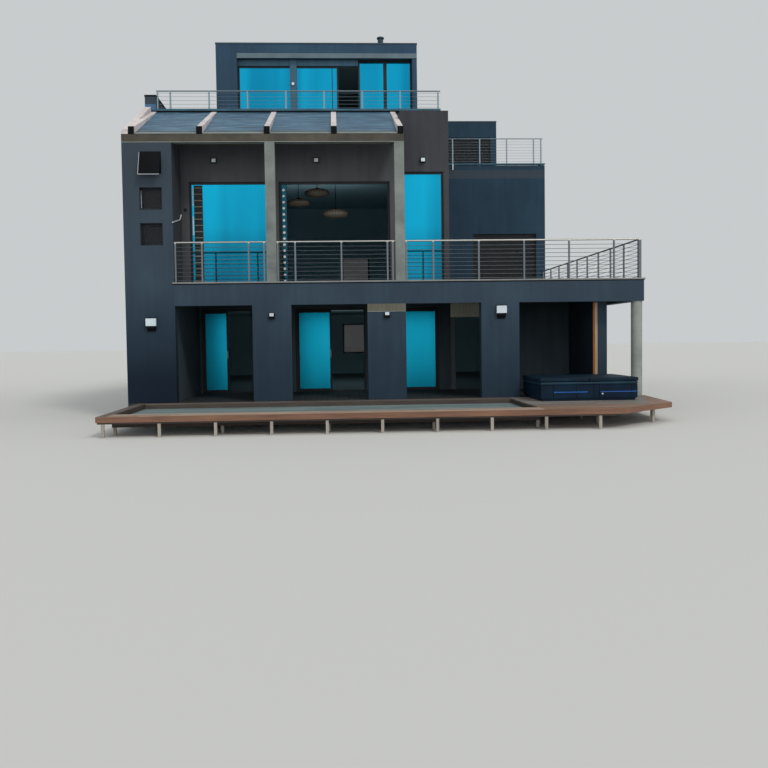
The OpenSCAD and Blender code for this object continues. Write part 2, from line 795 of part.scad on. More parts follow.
// The frames of all fixed windows
module window_frames() {
    fy = [balcony_d + 60, balcony_d + 60 + frame_d];
    top_fy = [glazing_y + 40, glazing_y + 40 + frame_d];
    in_frame() color(dark_metal) {
        for (z = square_places)
            frame_xz(square_x, [facade_t / 2, facade_t / 2 + frame_d], [z, z + square_win], frame_bar);
        frame_xz([window_a_x, window_a_x + window_a_w], fy, [first_z, first_z + balcony_head],
            frame_bar);
        frame_xz([window_c_x, window_c_x + window_c_w], fy, [first_z, first_z + tall_head],
            frame_bar);
        frame_xz(block_win, [block_y + 120, block_y + 120 + frame_d],
            [first_z, first_z + block_win_h], frame_bar);
        frame_xz(wing_win, [wing_y + 120, wing_y + 120 + frame_d],
            [terrace_z, terrace_z + wing_win_h], frame_bar);
        frame_xz(top_panes[0], top_fy, [terrace_z, terrace_z + top_heads[0]], frame_bar);
        frame_xz(top_panes[1], top_fy, [terrace_z, terrace_z + top_heads[1]], frame_bar);
        difference() {
            block([top_panes[2][0], top_panes[3][1]], top_fy, [terrace_z, terrace_z + top_heads[2]]);
            for (pane = [top_panes[2], top_panes[3]])
                block([pane[0] + frame_bar, pane[1] - frame_bar], [top_fy[0] - 1, top_fy[1] + 1],
                    [terrace_z + frame_bar, terrace_z + top_heads[2] - frame_bar]);
        }
        for (x = rear_places, floor_z = [0, first_z])
            frame_xz(plain_span(x), [house_d - plain_depth - frame_d, house_d - plain_depth],
                plain_rise(floor_z), frame_bar);
        for (y = side_places, floor_z = [0, first_z])
            frame_yz([plain_depth, plain_depth + frame_d], plain_span(y), plain_rise(floor_z),
                frame_bar);
        for (y = right_places)
            frame_yz([ground_w - plain_depth - frame_d, ground_w - plain_depth], plain_span(y),
                plain_rise(0), frame_bar);
        for (y = terrace_places)
            frame_yz([main_w - plain_depth - frame_d, main_w - plain_depth], plain_span(y),
                plain_rise(first_z), frame_bar);
        for (y = block_places)
            frame_yz([house_w - plain_depth - frame_d, house_w - plain_depth], plain_span(y),
                plain_rise(first_z), frame_bar);
    }
}

// The frame of the wide balcony window, which stands open
module open_window_frame() {
    in_frame() color(dark_metal)
        frame_xz([window_b_x, window_b_x + window_b_w], [balcony_d + 60, balcony_d + 60 + frame_d],
            [first_z, first_z + balcony_head], frame_bar);
}

// A pane that fills a frame
module pane_xz(x, y, z) {
    mid = y + frame_d / 2;
    block([x[0] + frame_bar, x[1] - frame_bar], [mid - pane_t / 2, mid + pane_t / 2],
        [z[0] + frame_bar, z[1] - frame_bar]);
}

module pane_yz(x, y, z) {
    mid = x + frame_d / 2;
    block([mid - pane_t / 2, mid + pane_t / 2], [y[0] + frame_bar, y[1] - frame_bar],
        [z[0] + frame_bar, z[1] - frame_bar]);
}

// The panes that face the sea
module window_glass() {
    in_frame() color(glass_blue) {
        pane_xz([window_a_x, window_a_x + window_a_w], balcony_d + 60,
            [first_z, first_z + balcony_head]);
        pane_xz([window_c_x, window_c_x + window_c_w], balcony_d + 60,
            [first_z, first_z + tall_head]);
        for (i = [0:3])
            pane_xz(top_panes[i], glazing_y + 40, [terrace_z, terrace_z + top_heads[i]]);
    }
}

// The dark panes of the small windows, the rear block, the rear wing and the plain windows
module shaded_window_glass() {
    in_frame() color("#1b2228") {
        for (z = square_places)
            pane_xz(square_x, facade_t / 2, [z, z + square_win]);
        pane_xz(block_win, block_y + 120, [first_z, first_z + block_win_h]);
        pane_xz(wing_win, wing_y + 120, [terrace_z, terrace_z + wing_win_h]);
        for (x = rear_places, floor_z = [0, first_z])
            pane_xz(plain_span(x), house_d - plain_depth - frame_d, plain_rise(floor_z));
        for (y = side_places, floor_z = [0, first_z])
            pane_yz(plain_depth, plain_span(y), plain_rise(floor_z));
        for (y = right_places)
            pane_yz(ground_w - plain_depth - frame_d, plain_span(y), plain_rise(0));
        for (y = terrace_places)
            pane_yz(main_w - plain_depth - frame_d, plain_span(y), plain_rise(first_z));
        for (y = block_places)
            pane_yz(house_w - plain_depth - frame_d, plain_span(y), plain_rise(first_z));
    }
}

// Left edge of a door's leaves when it stands open: both are at the same end
function leaf_x(door) = door[3] > 0 ? door[0] + door_jamb + leaf_gap
    : door[0] + door[1] - door_jamb - leaf_gap - door[2];

// A leaf's frame of stiles and rails
module leaf_frame(x, w, y) {
    frame_xz([x, x + w], [y, y + leaf_t], [leaf_z, leaf_z + leaf_h], leaf_bar);
}

module leaf_pane(x, w, y) {
    mid = y + leaf_t / 2;
    block([x + leaf_bar, x + w - leaf_bar], [mid - pane_t / 2, mid + pane_t / 2],
        [leaf_z + leaf_bar, leaf_z + leaf_h - leaf_bar]);
}

// The door frames with their fixed leaves on the rear track
module door_frames() {
    in_frame() color(dark_metal)
        for (door = doors) {
            x = [door[0], door[0] + door[1]];
            fixed_x = leaf_x(door);
            difference() {
                block(x, [loggia_d, loggia_d + door_frame_d], [0, door_h]);
                block([x[0] + door_jamb, x[1] - door_jamb],
                    [loggia_d - 1, loggia_d + door_frame_d + 1], [door_sill, door_h - door_jamb]);
            }
            difference() {
                block([fixed_x - (door[3] > 0 ? leaf_gap : 0), fixed_x + door[2] + (door[3] > 0 ? 0 : leaf_gap)],
                    [rear_track_y, rear_track_y + leaf_t], [door_sill, door_h - door_jamb]);
                block([fixed_x + leaf_bar, fixed_x + door[2] - leaf_bar],
                    [rear_track_y - 1, rear_track_y + leaf_t + 1],
                    [leaf_z + leaf_bar, leaf_z + leaf_h - leaf_bar]);
            }
        }
}

module door_glass() {
    in_frame() color(glass_blue)
        for (door = doors)
            leaf_pane(leaf_x(door), door[2], rear_track_y);
}

// A sliding leaf with two roller blocks that run on the sill
module sliding_leaf(door) {
    x = leaf_x(door);
    in_frame() color(dark_metal) {
        leaf_frame(x, door[2], front_track_y);
        for (end = [120, door[2] - 200])
            block([x + end, x + end + 80], [front_track_y + 15, front_track_y + leaf_t - 15],
                [door_sill + roller_gap, leaf_z]);
    }
}

module sliding_glass(door) {
    in_frame() color(glass_blue)
        leaf_pane(leaf_x(door), door[2], front_track_y);
}

module sliding_leaf_1() { sliding_leaf(doors[0]); }
module sliding_leaf_2() { sliding_leaf(doors[1]); }
module sliding_leaf_3() { sliding_leaf(doors[2]); }
module sliding_glass_1() { sliding_glass(doors[0]); }
module sliding_glass_2() { sliding_glass(doors[1]); }
module sliding_glass_3() { sliding_glass(doors[2]); }

// Where the lights are fixed: place along the facade and height of the underside
lantern_places = [[left_block_w / 2 + 23, left_lantern_h],
    [last_pier_x + pier_w / 2 + 21, right_lantern_h]];
spot_places = [[first_pier_x + pier_w / 2 - 2, left_spot_h],
    [first_pier_x + pier_pitch + pier_w / 2 + 5, right_spot_h]];
high_places = [window_a_x + 650, window_b_x + 977, window_c_x + window_c_w / 2];

// The square lanterns on their brackets and the small lights over the balcony
module wall_lights() {
    in_frame() color("#e8ecec") {
        for (p = lantern_places)
            block([p[0] - lantern_w / 2, p[0] + lantern_w / 2], [-lantern_reach, 0],
                [p[1] - bracket_h, p[1] + lantern_h]);
        for (p = spot_places)
            block([p[0] - spot_w / 2, p[0] + spot_w / 2], [-spot_reach, 0], [p[1], p[1] + spot_w]);
        for (x = high_places)
            block([x - spot_w / 2, x + spot_w / 2], [balcony_d - spot_reach, balcony_d],
                [first_z + balcony_light_h, first_z + balcony_light_h + spot_w]);
    }
}

// Lens-shaped lamps that hang on rods from the living room ceiling
module pendant(x, y, z, d) {
    translate([x, y, z])
        cylinder(h = 110, d1 = d * 0.3, d2 = d, $fn = round_fn);
    translate([x, y, z + 110])
        cylinder(h = 80, d1 = d, d2 = d * 0.35, $fn = round_fn);
    translate([x, y, z + 190])
        cylinder(h = first_ceiling_z - z - 190, d = 20, $fn = 16);
}
pendant_y = loggia_d - pendant_setback;
pendant_x = window_b_x + pendant_inset;

module pendant_lamps() {
    in_frame() color("#b09a83") {
        pendant(pendant_x, pendant_y, first_z + pendant_h, pendant_d);
        pendant(pendant_x + middle_pendant_step, pendant_y, first_z + middle_pendant_h,
            middle_pendant_d);
        pendant(pendant_x + large_pendant_step, pendant_y, first_z + large_pendant_h,
            large_pendant_d);
    }
}

// The deck's outline, from its left rear corner round the front to the right rear corner
deck_outline = [[deck_left_x, 0], [deck_left_x, -deck_d], [house_w - 1780, -deck_d],
    [house_w - 240, -2560], [house_w, 0]];
platform_outline = [[sunken_w, 0], [sunken_w, -platform_d], [house_w - 830, -platform_d],
    [house_w - 98, 0]];
sunken_x = [deck_left_x + deck_kerb_w, sunken_w];
sunken_y = [-deck_d + border_w, -ledge_w];

// A corner of the outline, moved inwards by a board's thickness
function unit(v) = v / norm(v);
function aside(v) = [-v[1], v[0]];
function inset(points, i, t) = let (a = aside(unit(points[i] - points[i - 1])),
    b = aside(unit(points[i + 1] - points[i]))) points[i] + t * (a + b) / (1 + a * b);
inner_outline = [[deck_left_x + fascia_t, 0], inset(deck_outline, 1, fascia_t),
    inset(deck_outline, 2, fascia_t), inset(deck_outline, 3, fascia_t), [house_w - fascia_t, 0]];

// A flat shape between two heights
module plate(points, z) {
    translate([0, 0, z[0]])
        linear_extrude(z[1] - z[0])
            polygon(points);
}

// The grey boards of the sunken part and of the platform round the hot tub
module deck_boards() {
    in_frame() color("#8b8d8c") {
        block([sunken_x[0] - fascia_t, sunken_x[1] + fascia_t],
            [sunken_y[0] - fascia_t, sunken_y[1] + fascia_t],
            [-deck_step - board_t, -deck_step]);
        plate(platform_outline, [-board_t, 0]);
    }
}

// The oiled boards round both: kerb, ledge, front border and the cut corner at the right
module deck_borders() {
    in_frame() color(timber) {
        block([inner_outline[0][0], sunken_x[0]], [-deck_d + fascia_t, 0], [-board_t, 0]);
        block(sunken_x, [-ledge_w, 0], [-board_t, 0]);
        block(sunken_x, [-deck_d + fascia_t, sunken_y[0]], [-board_t, 0]);
        plate([[sunken_w, -platform_d], [sunken_w, -deck_d + fascia_t], inner_outline[2],
            inner_outline[3], inner_outline[4], platform_outline[3], platform_outline[2]],
            [-board_t, 0]);
    }
}

// The outer fascia, and the risers round the sunken part
module deck_fascia() {
    outer = deck_outline;
    inner = inner_outline;
    ring_x = [sunken_x[0] - fascia_t, sunken_x[1] + fascia_t];
    ring_y = [sunken_y[0] - fascia_t, sunken_y[1] + fascia_t];
    in_frame() color(timber) {
        plate([outer[0], outer[1], outer[2], outer[3], outer[4], inner[4], inner[3], inner[2],
            inner[1], inner[0]], [-fascia_h, 0]);
        difference() {
            block(ring_x, ring_y, [-deck_step, -board_t]);
            block(sunken_x, sunken_y, [-deck_step - 1, 0]);
        }
    }
}

// Bearers in rows along the deck, under the sunken part and under the higher boards
low_rows = [sunken_y[0] - fascia_t, (sunken_y[0] + sunken_y[1]) / 2,
    sunken_y[1] + fascia_t - bearer_w];
high_rows = [[-platform_d + 90, house_w - 700], [-platform_d / 2, house_w - 260],
    [-bearer_w, house_w - 110]];
low_top = -deck_step - board_t;
front_bearer_x = [deck_left_x + fascia_t, house_w - 1900];
first_post_in = 100;
spa_post_x = house_w - 2000;
module deck_frame() {
    low_x = [sunken_x[0] - fascia_t, sunken_w + fascia_t];
    in_frame() color(timber) {
        block(front_bearer_x,
            [-deck_d + fascia_t, -deck_d + fascia_t + bearer_w], [-board_t - bearer_h, -board_t]);
        block([deck_left_x + fascia_t, low_x[0] - 20],
            [-bearer_w, 0], [-board_t - bearer_h, -board_t]);
        for (y = low_rows)
            block(low_x, [y, y + bearer_w], [low_top - bearer_h, low_top]);
        for (row = high_rows)
            block([low_x[1] + 20, row[1]], [row[0], row[0] + bearer_w],
                [-board_t - bearer_h, -board_t]);
    }
}

// Posts under the bearers, down to the ground
module deck_post(x, y, top) {
    block([x, x + deck_post_w], [y, y + bearer_w], [-foundation_h, top]);
}
module deck_posts() {
    front_x = deck_left_x + first_post_in;
    in_frame() color(timber) {
        for (x = [front_x:deck_post_pitch:front_bearer_x[1] - deck_post_w])
            deck_post(x, -deck_d + fascia_t, -board_t - bearer_h);
        for (y = low_rows, i = [0:4])
            deck_post(sunken_x[0] + i * (sunken_w - sunken_x[0] - deck_post_w) / 4, y,
                low_top - bearer_h);
        for (row = high_rows, x = [sunken_w + first_post_in, spa_post_x, row[1] - deck_post_w])
            deck_post(x, row[0], -board_t - bearer_h);
        deck_post(deck_left_x + fascia_t, -bearer_w, -board_t - bearer_h);
    }
}

// The hot tub, a closed tank under its cover
module hot_tub() {
    in_frame() color("#1d3550") {
        block([tub_x + 40, tub_x + tub_w - 40], [tub_y + 40, tub_y + tub_d - 40], [0, 60]);
        block([tub_x, tub_x + tub_w], [tub_y, tub_y + tub_d], [60, tub_h]);
    }
}

module hot_tub_cover() {
    in_frame() color("#16263a")
        block([tub_x - 15, tub_x + tub_w + 15], [tub_y - 15, tub_y + tub_d + 15],
            [tub_h, tub_h + tub_cover_t]);
}

foundation_walls();
ground_floor_slab();
left_front_wall();
left_side_wall();
front_piers();
loggia_side_walls();
loggia_walls();
loggia_lintel();
doorway_panel();
ground_right_wall();
rear_wall();
round_column();
first_floor_slab();
edge_band();
balcony_side_wall();
balcony_wall();
bay_wall();
bay_roof();
terrace_side_wall();
block_walls();
concrete_columns();
front_beam();
raked_roof();
roof_ribs();
left_verge();
roof_terrace_slab();
terrace_kerbs();
left_parapet();
top_floor_walls();
top_floor_lintel();
top_floor_roof();
top_floor_fascia();
wing_walls();
wing_roof();
flue();
balcony_railings();
side_railing();
roof_railings();
window_frames();
open_window_frame();
window_glass();
shaded_window_glass();
door_frames();
door_glass();
sliding_leaf_1();
sliding_leaf_2();
sliding_leaf_3();
sliding_glass_1();
sliding_glass_2();
sliding_glass_3();
wall_lights();
pendant_lamps();
deck_boards();
deck_borders();
deck_fascia();
deck_frame();
deck_posts();
hot_tub();
hot_tub_cover();
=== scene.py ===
# %% [markdown]
# A beach house in slate-blue render, on three storeys, with a raked concrete roof over its
# balcony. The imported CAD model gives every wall, slab, frame and railing its true place. This
# script adds the finishes and the small joinery, one cell at a time. First it loads that model,
# which stays fixed: whatever is modelled here is built round it.

# %% Load the frame
import math
import random

import bmesh
import bpy
from mathutils import Matrix, Vector


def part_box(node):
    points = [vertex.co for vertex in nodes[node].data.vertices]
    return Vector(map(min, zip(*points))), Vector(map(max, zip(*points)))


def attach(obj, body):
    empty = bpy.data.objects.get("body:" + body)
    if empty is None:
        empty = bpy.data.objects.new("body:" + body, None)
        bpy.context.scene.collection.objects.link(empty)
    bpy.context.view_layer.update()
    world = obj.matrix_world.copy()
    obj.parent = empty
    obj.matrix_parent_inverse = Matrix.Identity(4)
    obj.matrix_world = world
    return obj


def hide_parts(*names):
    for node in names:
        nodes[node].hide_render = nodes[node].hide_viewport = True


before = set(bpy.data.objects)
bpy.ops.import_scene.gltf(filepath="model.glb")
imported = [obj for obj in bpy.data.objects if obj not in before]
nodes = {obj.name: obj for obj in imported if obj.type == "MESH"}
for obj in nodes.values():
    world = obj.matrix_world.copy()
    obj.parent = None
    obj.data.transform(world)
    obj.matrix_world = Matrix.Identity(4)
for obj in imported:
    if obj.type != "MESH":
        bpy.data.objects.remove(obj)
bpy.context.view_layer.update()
random.seed(7)

# %% [markdown]
# Places are measured from the outer face of the left wall, from the facade and from the ground
# floor's surface. Three small functions work in those measures. The last one lists the separate
# solids of a node, such as all panes, so that a sill or a trim can be set against each of them.

# %% House measures
facade = Vector((*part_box("left_front_wall")[0].xy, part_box("ground_floor_slab")[1].z))


def at(x, y, z):
    """A point of the house, in metres from its left face, its facade and its floor."""
    return facade + Vector((x, y, z))


def measures(name):
    """The lowest and the highest corner of a node, in the house's own measures."""
    low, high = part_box(name)
    return low - facade, high - facade


def solids(name):
    """The boxes of a node's separate solids, in the house's measures, from left to right."""
    mesh = bmesh.new()
    mesh.from_mesh(nodes[name].data)
    bmesh.ops.remove_doubles(mesh, verts=mesh.verts, dist=0.00001)
    waiting = set(mesh.verts)
    boxes = []
    while waiting:
        found = [waiting.pop()]
        for vert in found:
            for edge in vert.link_edges:
                other = edge.other_vert(vert)
                if other in waiting:
                    waiting.remove(other)
                    found.append(other)
        spans = list(zip(*(vert.co - facade for vert in found)))
        boxes.append((Vector(map(min, spans)), Vector(map(max, spans))))
    mesh.free()
    return sorted(boxes, key=lambda box: (round(box[0].x, 3), box[0].y, box[0].z))


first_z = measures("balcony_wall")[0].z
terrace_z = measures("roof_terrace_slab")[1].z
house_w = measures("edge_band")[1].x
house_d = measures("rear_wall")[1].y
print("facade", facade, "balcony floor", first_z, "terrace", terrace_z)

# %% [markdown]
# The camera stands low in the dunes, 23 m before the facade, and looks a little to the right and
# down. Its place and lens come from the vanishing lines of the floors and the deck. It is built
# from its own three axes, because the small roll is then one line more.

# %% Camera
eye = at(5.06, -22.581, 1.461)
yaw, pitch, roll = 0.051575, 0.047780, -0.013552
forward = Vector((math.sin(yaw) * math.cos(pitch), math.cos(yaw) * math.cos(pitch),
                  -math.sin(pitch)))
level = Vector((math.cos(yaw), -math.sin(yaw), 0))
upward = level.cross(forward)
right = level * math.cos(roll) + upward * math.sin(roll)
upward = upward * math.cos(roll) - level * math.sin(roll)
camera_data = bpy.data.cameras.new("camera")
camera_data.lens = 43.125
camera_data.sensor_width = 36
camera_data.clip_end = 500
camera = bpy.data.objects.new("camera", camera_data)
turned = Matrix((right, upward, -forward)).transposed().to_4x4()
camera.matrix_world = Matrix.Translation(eye) @ turned
bpy.context.scene.collection.objects.link(camera)
bpy.context.scene.camera = camera
bpy.context.scene.view_settings.view_transform = "Standard"
print("camera at", eye)

# %% [markdown]
# Every finish is a node tree. One function turns the hex code of a paint chart's colour into
# linear values. The second sets a node's inputs or links them, and the third adds a node. The
# last gives a new material with its shader and its coordinates.

# %% Node helpers
paints = {}


def linear(code):
    """The linear colour of an sRGB hex code such as "304150"."""
    out = []
    for i in (0, 2, 4):
        c = int(code[i:i + 2], 16) / 255
        out.append(c / 12.92 if c <= 0.04045 else ((c + 0.055) / 1.055) ** 2.4)
    return (*out, 1.0)


def feed(node, sockets):
    """Sets inputs by name or number: to a value, a hex colour, or a node or output to link."""
    for key, value in sockets.items():
        if isinstance(value, bpy.types.Node):
            value = next(output for output in value.outputs if output.enabled)
        if isinstance(value, bpy.types.NodeSocket):
            node.id_data.links.new(value, node.inputs[key])
        else:
            node.inputs[key].default_value = linear(value) if isinstance(value, str) else value
    return node


def add(tree, kind, sockets=None, stops=None, **settings):
    """Adds a node with its inputs and settings. A ramp has stops of position and hex colour."""
    node = tree.nodes.new("ShaderNode" + kind)
    for key, value in settings.items():
        setattr(node, key, value)
    if stops:
        marks = node.color_ramp.elements
        while len(marks) < len(stops):
            marks.new(0.5)
        for mark, (position, code) in zip(marks, stops):
            mark.position = position
            mark.color = linear(code)
    return feed(node, sockets or {})


def blank(name):
    """Starts a paint of this name. Gives its tree, its shader and its object coordinates."""
    paints[name] = bpy.data.materials.new(name)
    paints[name].use_nodes = True
    tree = paints[name].node_tree
    return tree, tree.nodes["Principled BSDF"], add(tree, "TexCoord").outputs["Object"]


# %% [markdown]
# The outer walls are painted outside and plastered a pale grey inside, and each wall is one solid.
# The plaster's blue tint is painted light: the teal of the daylight that the coated glass lets in.
# The finish looks up on which side a point lies: the rooms are boxes, and a face on the skin of a
# box, a few millimetres in or out, looks into a room.

# %% Inside or outside
wall_t = measures("left_side_wall")[1].x
back_y = house_d - wall_t
bay_right = measures("bay_wall")[1].x
ground_face = measures("ground_right_wall")[1].x
loggia_back = measures("loggia_walls")[1]
block_low, block_high = measures("block_walls")
top_low, top_high = measures("top_floor_walls")
rooms = [
    ((wall_t, loggia_back.y, 0), (ground_face - wall_t, back_y, loggia_back.z + 0.215)),
    ((wall_t, measures("balcony_wall")[1].y, first_z), (bay_right - wall_t, back_y, block_high.z)),
    ((bay_right - wall_t, block_low.y + wall_t, first_z), (house_w - wall_t, back_y, block_high.z)),
    ((top_low.x + wall_t, top_low.y + 0.35, terrace_z), (top_high.x - 0.15, back_y, top_high.z)),
]


def room_side(tree, place):
    """1 where a face looks into a room, 0 where it looks outside."""
    total = None
    for low, high in rooms:
        low, high = at(*low), at(*high)
        half = (high - low) / 2 + Vector((0.004, 0.004, 0.004))
        away = add(tree, "VectorMath", {0: place, 1: (low + high) / 2}, operation="SUBTRACT")
        share = add(tree, "VectorMath", {0: away, 1: half}, operation="DIVIDE")
        axes = add(tree, "SeparateXYZ", {
            0: add(tree, "VectorMath", {0: share}, operation="ABSOLUTE")}).outputs
        wide = add(tree, "Math", {0: axes[0], 1: axes[1]}, operation="MAXIMUM")
        most = add(tree, "Math", {0: wide, 1: axes[2]}, operation="MAXIMUM")
        within = add(tree, "Math", {0: most, 1: 1.0}, operation="LESS_THAN")
        if total is not None:
            within = add(tree, "Math", {0: total, 1: within}, operation="MAXIMUM")
        total = within
    return total


print("rooms", len(rooms))

# %% [markdown]
# Painted render is a sand and lime coat, floated by hand. It is never quite even: clouds of tone
# a metre or two across, faint rain streaks, and a fine sandy bump, drawn a little coarser so that
# it shows. Salt and sun fade it to a warmer grey high up. Its foot is painted darker: painted
# shade, for the shade that the plants before the house throw on the lower wall. A slab or roof is
# one solid with its edge, so its faces that look up get their own covering: square tiles where
# people walk, and long sheets of felt on the roofs.

# %% Painted render


def laid_on_top(tree, place, colour, long, wide, first, second, joint):
    """Covers the faces that look up with tiles or sheets of this size."""
    laid = add(tree, "TexBrick", {
        "Vector": place, "Color1": first, "Color2": second, "Mortar": joint, "Scale": 1.0,
        "Mortar Size": 0.005, "Brick Width": long, "Row Height": wide}, offset=0.0)
    facing = add(tree, "NewGeometry").outputs["Normal"]
    up = add(tree, "SeparateXYZ", {"Vector": facing}).outputs["Z"]
    level = add(tree, "Math", {0: up, 1: 0.7}, operation="GREATER_THAN")
    return add(tree, "Mix", {0: level, 6: colour, 7: laid}, data_type="RGBA")


def painted_render(name, pale, mid, dark, faded=None, foot=0.0, top=None):
    tree, shader, place = blank(name)
    clouds = add(tree, "TexNoise", {
        "Vector": place, "Scale": 0.55, "Detail": 5.0, "Roughness": 0.6})
    run = add(tree, "Mapping", {"Vector": place, "Scale": (5.0, 5.0, 0.28)})
    streaks = add(tree, "TexNoise", {
        "Vector": run, "Scale": 1.3, "Detail": 4.0, "Roughness": 0.55})
    both = add(tree, "Mix", {0: 0.35, 2: clouds, 3: streaks})
    colour = add(tree, "ValToRGB", {"Fac": both}, [(0.30, dark), (0.50, mid), (0.72, pale)])
    rise = add(tree, "SeparateXYZ", {"Vector": place}).outputs["Z"]
    if faded:
        climb = add(tree, "MapRange", {"Value": rise, "From Min": facade.z + 0.8,
                                       "From Max": facade.z + 6.2, "To Max": 0.75})
        colour = add(tree, "Mix", {0: climb, 6: colour, 7: faded}, data_type="RGBA")
    # Towards the ground the colour is darkened: painted shade, for the shade of the plants before
    # the wall.
    if foot:
        foot_shade = add(tree, "MapRange", {
            "Value": rise, "From Min": facade.z + 2.0 + foot,
            "From Max": facade.z + foot * 0.6, "To Max": foot})
        colour = add(tree, "Mix", {0: foot_shade, 6: colour, 7: "081A2A"}, data_type="RGBA")
    if top:
        colour = laid_on_top(tree, place, colour, *top)
    # Inside the rooms the plaster's blue tint is painted light: the teal of daylight through the
    # coated glass.
    colour = add(tree, "Mix", {0: room_side(tree, place), 6: colour, 7: "AAC4CC"},
                 data_type="RGBA")
    sand = add(tree, "TexNoise", {
        "Vector": place, "Scale": 160.0, "Detail": 3.0, "Roughness": 0.7})
    float_marks = add(tree, "TexNoise", {
        "Vector": place, "Scale": 9.0, "Detail": 4.0, "Distortion": 0.6})
    height = add(tree, "Math", {0: sand, 1: float_marks}, operation="ADD")
    bump = add(tree, "Bump", {"Strength": 0.35, "Distance": 0.004, "Height": height})
    grit = add(tree, "MapRange", {"Value": sand, "To Min": 0.78, "To Max": 0.95})
    feed(shader, {"Base Color": colour, "Roughness": grit, "Normal": bump,
                  "Specular IOR Level": 0.3})


slate = ("39505E", "304352", "273845", "3B434B")
deep_slate = ("2A4355", "233A4B", "1C303F")
upper_slate = ("39556C", "2F495E", "273C4E")
bay_grey = ("4B4C51", "3F4044", "34353A")
tiles = (0.6, 0.6, "70736F", "666A67", "34383A")
felt = (7.5, 1.0, "4A5157", "434A50", "23282C")
painted_render("slate_render", *slate, foot=0.5)
# The block's copy of the slate has a deeper painted shade at its foot, where trees shade that wall.
painted_render("block_foot_shade_render", *slate, foot=1.0)
painted_render("terrace_render", *slate, foot=0.5, top=tiles)
painted_render("flat_roof_render", *upper_slate, top=felt)
painted_render("wing_roof_render", *deep_slate, top=felt)
painted_render("bay_roof_render", *bay_grey, top=felt)
painted_render("deep_slate_render", *deep_slate)
painted_render("upper_render", *upper_slate)
painted_render("charcoal_render", "57585B", "4B4C4F", "3F3F42")
painted_render("bay_render", *bay_grey)
painted_render("soot_render", "46545C", "3D4A51", "333E44")
# The lintel's copy of the slate is paler: painted light, because the lintel sits in the shade under
# the fascia.
painted_render("lintel_painted_light_render", "55768D", "48677B", "3B5769")
print("painted renders ready")

# %% [markdown]
# Fair-faced concrete keeps the print of its shuttering: clouds where the form was damp, and fine
# open pores. The pale cement wash on the ribs and the verge is the same recipe in other colours.

# %% Concrete


def fair_concrete(name, pale, mid, dark):
    tree, shader, place = blank(name)
    clouds = add(tree, "TexNoise", {
        "Vector": place, "Scale": 1.6, "Detail": 7.0, "Roughness": 0.65})
    colour = add(tree, "ValToRGB", {"Fac": clouds}, [(0.28, dark), (0.5, mid), (0.75, pale)])
    pores = add(tree, "TexVoronoi", {"Vector": place, "Scale": 38.0})
    holes = add(tree, "MapRange", {"Value": pores, "From Max": 0.22})
    grain = add(tree, "TexNoise", {"Vector": place, "Scale": 75.0, "Detail": 4.0})
    height = add(tree, "Math", {0: holes, 1: grain}, operation="ADD")
    bump = add(tree, "Bump", {"Strength": 0.3, "Distance": 0.004, "Height": height})
    feed(shader, {"Base Color": colour, "Normal": bump, "Roughness": 0.82,
                  "Specular IOR Level": 0.35})


fair_concrete("column_concrete", "8D938F", "7A807C", "646A67")
fair_concrete("beam_concrete", "5C574C", "4B473F", "3B3832")
fair_concrete("grey_concrete", "A3A8A3", "8F948F", "757B77")
fair_concrete("cement_wash", "E9E1DE", "D9D0CE", "B4ACAA")
print("concretes ready")

# %% [markdown]
# The raked roof is laid in narrow courses of blue-grey sheet. Each course shows as a fine dark
# line along the roof, and the weather has mottled the sheet between. The courses are real steps
# of 2 mm, too fine to model, so bands along the slope drive both the dark joints and the bump.

# %% Roof sheet
course = 0.125
tree, shader, place = blank("roof_sheet")
run = add(tree, "Mapping", {"Vector": place, "Scale": (0.9, 6.0, 3.0)})
mottle = add(tree, "TexNoise", {"Vector": run, "Scale": 1.6, "Detail": 6.0, "Roughness": 0.7})
sheet_tone = add(tree, "ValToRGB", {"Fac": mottle}, [
    (0.34, "233F50"), (0.46, "3D6581"), (0.56, "54809B"), (0.72, "82A6B8")])
steps = add(tree, "TexWave", {
    "Vector": place, "Scale": math.pi / 10 / course, "Distortion": 1.2, "Detail": 2.0,
    "Detail Scale": 1.5}, bands_direction="Y").outputs["Fac"]
joint = add(tree, "MapRange", {"Value": steps, "From Max": 0.35, "To Min": 0.75, "To Max": 0.0})
colour = add(tree, "Mix", {0: joint, 6: sheet_tone, 7: "22333F"}, data_type="RGBA")
bump = add(tree, "Bump", {"Strength": 0.5, "Distance": 0.004, "Height": steps})
feed(shader, {"Base Color": colour, "Normal": bump, "Metallic": 0.15, "Roughness": 0.5})
print("roof courses every", course, "m")

# %% [markdown]
# Powder-coated aluminium has an even colour and a satin, faintly pebbled skin. The window and
# door frames are nearly black, the fascia of the top floor a weathered grey-green, and the
# flashings along the terrace a sea teal. The same recipe gives the moulded plastics and the
# acrylic of the lights.

# %% Coated metal and moulded plastic


def powder_coat(name, pale, dark, rough=0.42, gloss=0.5):
    tree, shader, place = blank(name)
    mottle = add(tree, "TexNoise", {"Vector": place, "Scale": 2.2, "Detail": 3.0})
    colour = add(tree, "ValToRGB", {"Fac": mottle}, [(0.3, dark), (0.7, pale)])
    skin = add(tree, "TexNoise", {"Vector": place, "Scale": 420.0, "Detail": 2.0})
    bump = add(tree, "Bump", {"Strength": 0.12, "Distance": 0.001, "Height": skin})
    feed(shader, {"Base Color": colour, "Normal": bump, "Roughness": rough,
                  "Specular IOR Level": gloss})


